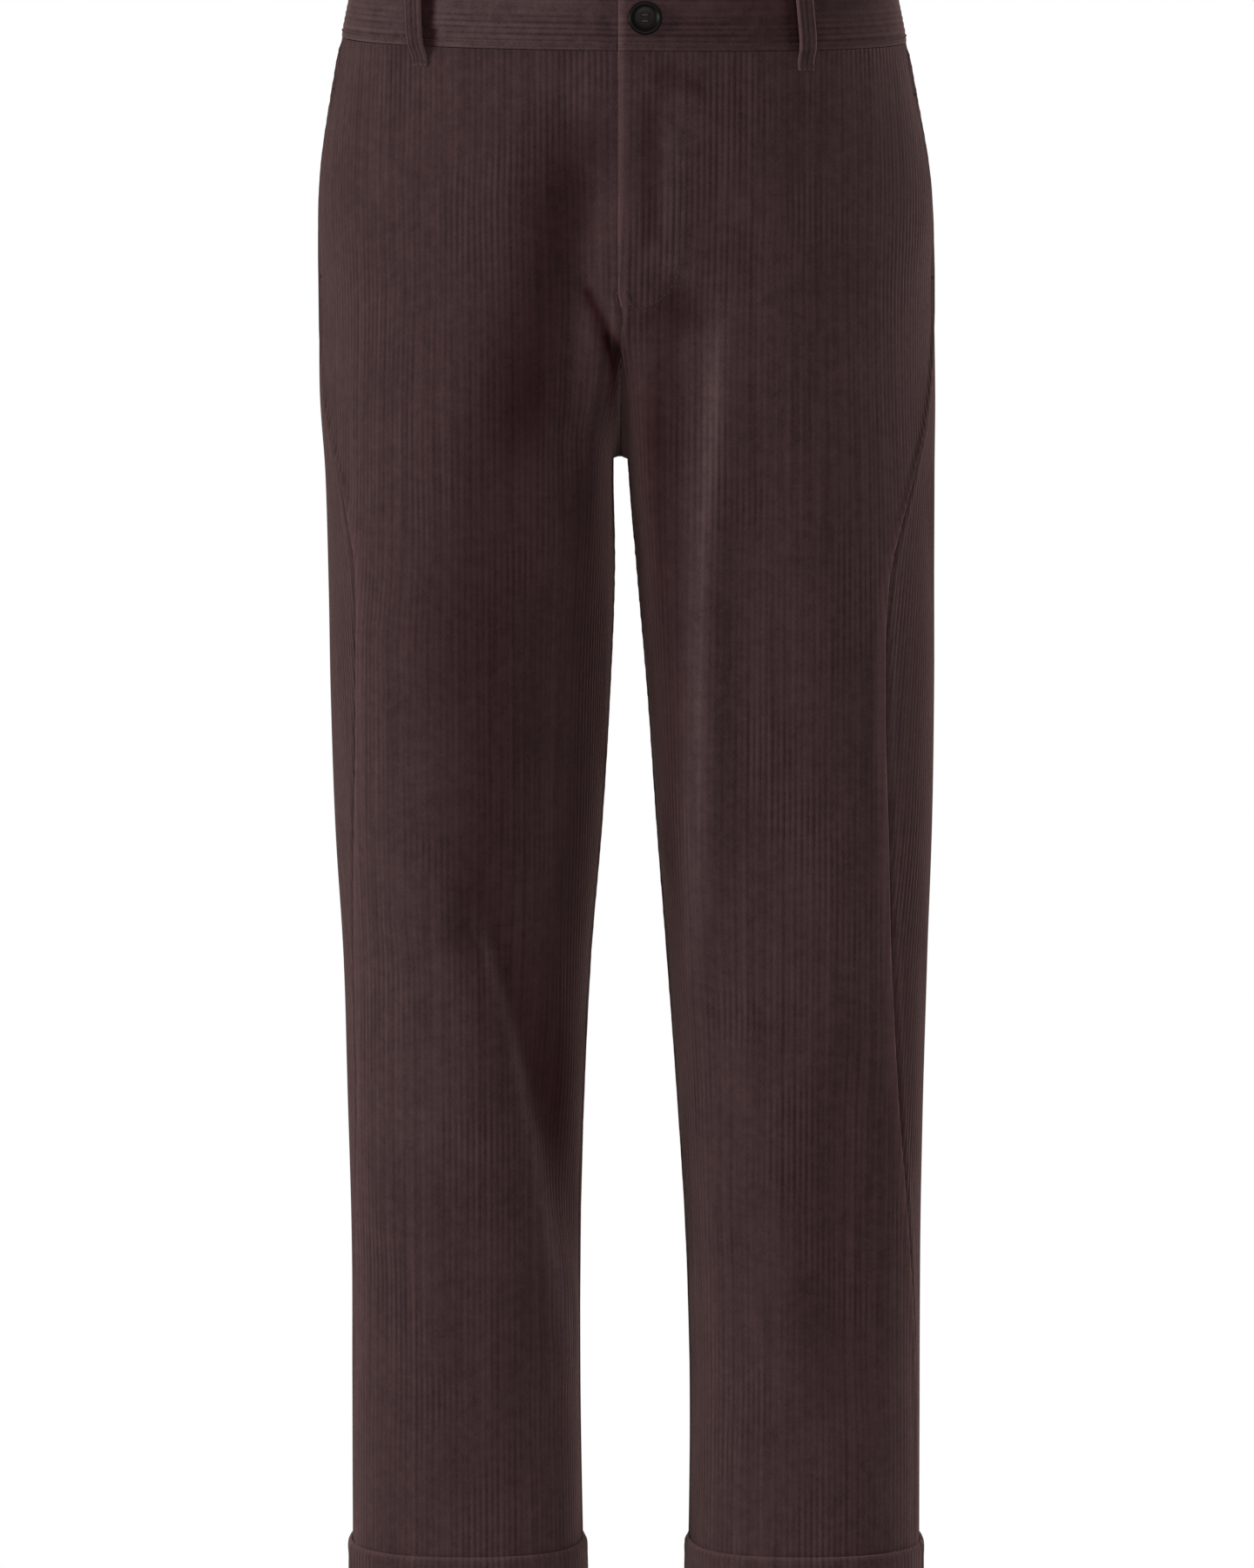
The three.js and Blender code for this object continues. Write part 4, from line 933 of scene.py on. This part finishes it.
def belt_loop(name, facing, top_x, bottom_x):
    """Rows down the loop's path, columns across it; its edges are rounded by 0.9 mm and its stitching sinks."""
    side = 1 if top_x > CENTRE_X else -1
    normal = outward(side, angle_at_x(side, facing, top_x, BAND_TOP), BAND_TOP)
    reach = LOOP_WIDTH / 2 * abs(normal[1])
    t = np.linspace(0, 1, LOOP_ROWS)
    run = np.concatenate([[0], np.cumsum(np.hypot(*np.diff(LOOP_PATH, axis=0).T))])
    z = np.interp(t * run[-1], run, LOOP_PATH[:, 0])
    out = np.interp(t * run[-1], run, LOOP_PATH[:, 1])
    soft = np.ones(5) / 5
    out = np.convolve(np.pad(out, 2, mode="edge"), soft, mode="valid")
    middle = mix(top_x, bottom_x, (z - z[0]) / (z[-1] - z[0]))
    across = np.linspace(-1, 1, LOOP_COLUMNS)
    edges = []
    for edge in (middle - reach, middle + reach):
        edge_side = 1 if edge[0] > CENTRE_X else -1
        angle = angle_at_x(edge_side, facing, edge, z)
        edges.append((form(edge_side, angle, z), outward(edge_side, angle, z)))
    share = ((across + 1) / 2)[None, :, None]
    base = mix(edges[0][0][:, None], edges[1][0][:, None], share)
    normal = mix(edges[0][1][:, None], edges[1][1][:, None], share)
    normal /= np.linalg.norm(normal, axis=2, keepdims=True)
    mm = across * LOOP_WIDTH / 2
    from_edge = LOOP_WIDTH / 2 - np.abs(mm)
    from_end = np.minimum(t, 1 - t) * run[-1]
    rounded = -0.9 * np.exp(-((from_edge / 0.8) ** 2))[None, :] - 0.9 * np.exp(-((from_end / 0.9) ** 2))[:, None]
    ribs = (wale_profile(mm / 3.0 + 0.5) - 0.5)[None, :] * 0.45
    sunk = -0.35 * np.exp(-(((from_edge - 2.0) / 0.6) ** 2))[None, :]
    tacked = -0.5 * np.exp(-(((from_end - 3.0) / 1.6) ** 2))[:, None]
    outer = base + normal * (out[:, None] + LOOP_CLOTH + rounded + ribs + sunk + tacked)[..., None]
    inner = base + normal * (out[:, None] + 0 * mm[None, :])[..., None]
    uv = np.stack(np.broadcast_arrays(mm[None, :] / 3.0 + 0.5, (t * run[-1] / 3.0)[:, None]), -1)
    # painted highlight along the loop's rounded edges and ends, partly rubbed pile
    wear_and_highlight = 0.9 * np.exp(-((from_edge / 0.9) ** 2))[None, :] + 0.4 * np.exp(-((from_end / 1.2) ** 2))[:, None]
    index = np.arange(LOOP_ROWS * LOOP_COLUMNS).reshape(LOOP_ROWS, LOOP_COLUMNS)
    piece = shell_mesh(name, outer, inner, index, uv, wear_and_highlight, [BAND_CORDUROY, CLOTH_BACK])
    return piece, (LOOP_WIDTH * MM, float(run[-1]) * MM)


for node, facing, top_x, bottom_x in LOOPS:
    piece, flat = belt_loop(f"{node}_cloth", facing, top_x, bottom_x)
    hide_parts(node)
    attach(piece, "root")

# Pocket facings
# Behind the mouth of each side pocket, in the side seam, a strip of the same corduroy backs the opening. The
# bags inside don't show.

POCKET_CLOTH = 1.2
POCKET_ROWS, POCKET_COLUMNS = 40, 25
PANEL_STEP_ANGLE = 1 / 14
for word, side in (("left", 1), ("right", -1)):
    z = np.broadcast_to(np.linspace(POCKET_TOP, POCKET_BOTTOM, POCKET_ROWS)[:, None], (POCKET_ROWS, POCKET_COLUMNS))
    seam = seam_angle(side, z)
    k = np.linspace(-PANEL_STEP_ANGLE, 2 * PANEL_STEP_ANGLE, POCKET_COLUMNS)[None, :]
    angle = np.where(k < 0, mix(seam, -np.pi, -k), mix(seam, np.pi, np.maximum(k, 0)))
    base, normal = form(side, angle, z), outward(side, angle, z)
    depth = drape(side, angle, z) - CLOTH - SEAM_GAP
    outer = base + normal * depth[..., None]
    inner = base + normal * (depth - POCKET_CLOTH)[..., None]
    width = np.linalg.norm(np.diff(outer[POCKET_ROWS // 2], axis=0), axis=1).sum()
    across = np.linspace(0, width / WALE, POCKET_COLUMNS)[None, :]
    uv = np.stack(np.broadcast_arrays(across, -z / WALE), -1)
    index = np.arange(z.size).reshape(z.shape)
    piece = shell_mesh(f"pocket_{word}_cloth", outer, inner, index, uv, 0 * z, [LEG_CORDUROY, CLOTH_BACK])
    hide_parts(f"pocket_{word}")
    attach(piece, "root")

# Button
# A 20 mm trouser button, turned from dark horn-like resin with a raised rim and a dished middle, is sewn
# through its four holes with brown thread.

BUTTON_X = 11.7
BUTTON_Z = -19.8
BUTTON_SEAT = 0.3
BUTTON_HOLE = 0.95
BUTTON_HOLE_CIRCLE = 2.6
BUTTON_OUTLINE = np.array([(7.5, 0), (8.9, 0.5), (9.7, 1.2), (10, 1.9), (9.9, 2.6), (9.5, 3.1), (8.9, 3.4), (8.3, 3.35),
                           (7.8, 3.0), (7.4, 2.6), (6.8, 2.2), (5.8, 2.0), (4.0, 1.9)])
BUTTON_TURNS = 96

horn, tree, output = new_material("polished horn resin")
place = put_node(tree, "ShaderNodeTexCoord")
streak = put_node(tree, "ShaderNodeTexNoise", links=[("Vector", place.outputs["Object"])], Scale=260.0, Detail=4.0,
                  Distortion=1.4)
ramp = put_node(tree, "ShaderNodeValToRGB", links=[("Fac", streak.outputs["Fac"])])
ramp.color_ramp.elements[0].color = (*linear("#070605"), 1)
ramp.color_ramp.elements[1].color = (*linear("#14110e"), 1)
shader = put_node(tree, "ShaderNodeBsdfPrincipled", links=[("Base Color", ramp.outputs[0])], Roughness=0.4)
shader.inputs["Specular IOR Level"].default_value = 0.13
tree.links.new(output.inputs["Surface"], shader.outputs[0])


def lathe(outline, turns):
    """Closed solid of revolution: every outline point at each turn, and one point at each end of the axis."""
    angle = np.arange(turns) * 2 * np.pi / turns
    ring = outline[:, None, 0] * np.exp(1j * angle)[None, :]
    points = np.stack([ring.real, ring.imag, np.broadcast_to(outline[:, 1:2], ring.shape)], -1).reshape(-1, 3)
    rows = len(outline)
    i, j = np.meshgrid(np.arange(rows - 1), np.arange(turns), indexing="ij")
    a, b = i * turns + j, i * turns + (j + 1) % turns
    faces = np.stack([a, b, b + turns, a + turns], -1).reshape(-1, 4).tolist()
    start, end = len(points), len(points) + 1
    points = np.concatenate([points, [(0, 0, outline[0, 1]), (0, 0, outline[-1, 1])]])
    faces += [(start, (k + 1) % turns, k) for k in range(turns)]
    faces += [(end, (rows - 1) * turns + k, (rows - 1) * turns + (k + 1) % turns) for k in range(turns)]
    return points, faces


def add_piece(name, points, faces, materials):
    """A mesh object from points in millimetres and faces."""
    mesh = bpy.data.meshes.new(name)
    mesh.from_pydata((np.asarray(points) * MM).tolist(), [], faces)
    for material in materials:
        mesh.materials.append(material)
    piece = bpy.data.objects.new(name, mesh)
    bpy.context.scene.collection.objects.link(piece)
    return piece


disc = add_piece("button_disc", *lathe(BUTTON_OUTLINE, BUTTON_TURNS), [horn])
drills = []
for quarter in range(4):
    turn = np.pi / 4 + quarter * np.pi / 2
    points, faces = lathe(np.array([(BUTTON_HOLE, -2.0), (BUTTON_HOLE, 6.0)]), 24)
    points = points + np.array([BUTTON_HOLE_CIRCLE * np.cos(turn), BUTTON_HOLE_CIRCLE * np.sin(turn), 0])
    drill = add_piece(f"drill_{quarter}", points, faces, [horn])
    cut = disc.modifiers.new(drill.name, "BOOLEAN")
    cut.operation, cut.solver, cut.object = "DIFFERENCE", "EXACT", drill
    drills.append(drill)
bpy.context.view_layer.update()
drilled = bpy.data.meshes.new_from_object(disc.evaluated_get(bpy.context.evaluated_depsgraph_get()))
disc.modifiers.clear()
disc.data = drilled
for drill in drills:
    bpy.data.objects.remove(drill)

button_angle = angle_at_x(1, 1, BUTTON_X, BUTTON_Z)
button_normal = outward(1, button_angle, BUTTON_Z)
button_right = np.cross([0, 0, 1], button_normal)
button_right /= np.linalg.norm(button_right)
button_up = np.cross(button_normal, button_right)
button_seat = form(1, button_angle, BUTTON_Z) + button_normal * (BAND_PROUD + SEAM_GAP + BUTTON_SEAT)
BUTTON_AXES = np.stack([button_right, button_up, button_normal])


def on_button(points):
    """Points in the button's own axes (right, up, out) put in their place on the band."""
    return button_seat + np.asarray(points) @ BUTTON_AXES


co = np.empty(len(drilled.vertices) * 3)
drilled.vertices.foreach_get("co", co)
drilled.vertices.foreach_set("co", (on_button(co.reshape(-1, 3) / MM) * MM).ravel())
drilled.polygons.foreach_set("use_smooth", np.ones(len(drilled.polygons), bool))
drilled.set_sharp_from_angle(angle=math.radians(40))
drilled.update()
disc.name = "button_disc"
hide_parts("button")
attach(disc, "root")

# Stitching
# Brown core-spun thread, half a millimetre thick. It runs along both edges of the band, down the fly in the
# shape of a J, and in dense bars at the ends of loops, fly and pocket mouths.

STITCH = 3.2
THREAD = 0.27
thread, tree, output = new_material("brown core-spun thread")
place = put_node(tree, "ShaderNodeTexCoord")
twist = put_node(tree, "ShaderNodeTexWave", links=[("Vector", place.outputs["Object"])], Scale=900.0)
ramp = put_node(tree, "ShaderNodeValToRGB", links=[("Fac", twist.outputs["Fac"])])
ramp.color_ramp.elements[0].color = (*linear("#352727"), 1)
ramp.color_ramp.elements[1].color = (*linear("#5a4645"), 1)
shader = put_node(tree, "ShaderNodeBsdfPrincipled", links=[("Base Color", ramp.outputs[0])], Roughness=0.62)
shader.inputs["Specular IOR Level"].default_value = 0.25
tree.links.new(output.inputs["Surface"], shader.outputs[0])


def threads(name, centre, along, out, length, radius=THREAD):
    """Stitches joined in one mesh. Each is a thread of five rings of six points that arches over the cloth and
    dives in at both ends; centre, along and out place it, and length is its own."""
    centre, along, out = (np.asarray(v, float).reshape(-1, 3) for v in (centre, along, out))
    along = along / np.linalg.norm(along, axis=1, keepdims=True)
    out = out - (out * along).sum(1, keepdims=True) * along
    out /= np.linalg.norm(out, axis=1, keepdims=True)
    across = np.cross(along, out)
    length = np.broadcast_to(np.asarray(length, float), (len(centre),))
    ring_at = np.array([-0.5, -0.36, 0.0, 0.36, 0.5])
    ring_up = np.array([-0.35, 0.05, 0.22, 0.05, -0.35])
    ring_size = np.array([0.6, 1.0, 1.0, 1.0, 0.6]) * radius
    turn = np.arange(6) * np.pi / 3
    t = np.repeat(ring_at, 6)
    up = np.repeat(ring_up, 6) + np.repeat(ring_size, 6) * np.tile(np.sin(turn), 5)
    wide = np.repeat(ring_size, 6) * np.tile(np.cos(turn), 5)
    points = (centre[:, None] + along[:, None] * (t[None, :, None] * length[:, None, None])
              + out[:, None] * up[None, :, None] + across[:, None] * wide[None, :, None])
    k = np.arange(6)
    sides = np.concatenate([np.stack([r * 6 + k, (r + 1) * 6 + k, (r + 1) * 6 + (k + 1) % 6, r * 6 + (k + 1) % 6], -1)
                            for r in range(4)])
    faces = (sides[None] + (np.arange(len(centre)) * 30)[:, None, None]).reshape(-1, 4).tolist()
    ends = np.array([[0, 1, 2, 3, 4, 5], [29, 28, 27, 26, 25, 24]])
    faces += (ends[None] + (np.arange(len(centre)) * 30)[:, None, None]).reshape(-1, 6).tolist()
    piece = add_piece(name, points.reshape(-1, 3), faces, [thread])
    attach(piece, "root")
    return piece


def along_line(points, normals, spacing=STITCH, share=0.8):
    """Centres, directions, outward directions and lengths of stitches spread evenly along a line of points."""
    run = np.concatenate([[0], np.cumsum(np.linalg.norm(np.diff(points, axis=0), axis=1))])
    count = max(1, int(run[-1] / spacing))
    at = (np.arange(count) + 0.5) * run[-1] / count
    pick = lambda values, where: np.stack([np.interp(where, run, v) for v in values.T], -1)
    half = run[-1] / count * share / 2
    start, end = pick(points, at - half), pick(points, at + half)
    return (start + end) / 2, end - start, pick(normals, at), np.full(count, 2 * half)


def cloth_line(side, facing, xz, out, samples=60):
    """A line drawn on a face of the cloth through x, z points, smoothed, at a distance out of the form."""
    xz = np.asarray(xz, float)
    t = np.linspace(0, len(xz) - 1, samples)
    x, z = (np.interp(t, np.arange(len(xz)), xz[:, i]) for i in (0, 1))
    angle = angle_at_x(side, facing, x, z)
    normal = outward(side, angle, z)
    lift = fly_lift(side, np.abs(angle) / np.pi, z) if facing > 0 else 0
    return form(side, angle, z) + normal * (drape(side, angle, z) + lift + out)[:, None], normal


def band_line(side, start, end, z, out):
    """A line round the band at height z between two angles."""
    angle = np.linspace(start, end, 300)
    normal = outward(side, angle, z)
    return form(side, angle, np.full(300, float(z))) + normal * (BAND_PROUD + out), normal


lines = []
for side in (1, -1):
    last = 0.985 * np.pi if side > 0 else 0.8 * np.pi
    for z in (BAND_TOP - 2.6, BAND_BOTTOM + 3.4):
        lines.append(along_line(*band_line(side, -0.99 * np.pi, last, z, 0.0)))
J_LINE = [(34.6, -41.6), (35, -85), (34.8, -124.6), (34.2, -154.2), (33.2, -169), (30.8, -179.9), (26.7, -188.8), (20.7, -194.7),
          (12.8, -198.7), (4.9, -200.6)]
lines.append(along_line(*cloth_line(1, 1, J_LINE, 0.25, 240)))
parts = [np.concatenate(v) for v in zip(*lines)]
threads("top_stitching", *parts)


def bar_tack(point, along, out, length, count=11, spacing=0.55, reach=2.2):
    """A bar tack: count short stitches side by side across a line of the given direction."""
    along = np.asarray(along, float) / np.linalg.norm(along)
    across = np.cross(along, out)
    offset = (np.arange(count) - (count - 1) / 2) * length / (count - 1)
    centre = np.asarray(point) + along[None, :] * offset[:, None]
    tilt = across[None, :] + along[None, :] * (0.18 * (-1.0) ** np.arange(count))[:, None]
    return centre, tilt, np.broadcast_to(out, centre.shape), np.full(count, reach)


tacks = []
for node, facing, top_x, bottom_x in LOOPS:
    side = 1 if top_x > CENTRE_X - 1 else -1
    for x, z, lift in ((top_x, BAND_TOP - 3.2, 2.6 + LOOP_CLOTH - 0.4), (bottom_x, -48.7, 0.4 + LOOP_CLOTH - 0.35)):
        angle = angle_at_x(side, facing, x + 0.01, z)
        normal = outward(side, angle, z)
        point = form(side, angle, z) + normal * lift
        across = np.cross([0, 0, 1], normal)
        tacks.append(bar_tack(point, across, normal, 9.5, count=17, reach=1.7))
for side in (1, -1):
    for z in (POCKET_TOP - 1, POCKET_BOTTOM + 1):
        angle = seam_angle(side, z) + 0.03
        normal = outward(side, angle, z)
        point = form(side, angle, z) + normal * 0.9
        tacks.append(bar_tack(point, np.cross([0, 0, 1], normal), normal, 7, count=12, reach=1.9))
angle = angle_at_x(1, 1, 1.5, -193.7)
normal = outward(1, angle, -193.7)
tacks.append(bar_tack(form(1, angle, -193.7) + normal * 1.5, [0.35, 0, -1], normal, 8, count=14, reach=2.0))
threads("bar_tacks", *[np.concatenate(v) for v in zip(*tacks)])

# the button's own thread: two pairs of strands across its holes
reach = BUTTON_HOLE_CIRCLE * math.sqrt(0.5)
strand = np.array([(dx, y + dy, 2.15) for y in (reach, -reach) for dx, dy in ((0, 0.22), (0, -0.22))])
threads("button_thread", on_button(strand), np.tile(BUTTON_AXES[0], (4, 1)), np.tile(BUTTON_AXES[2], (4, 1)),
        2 * reach + 0.8, radius=0.3)

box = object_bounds()
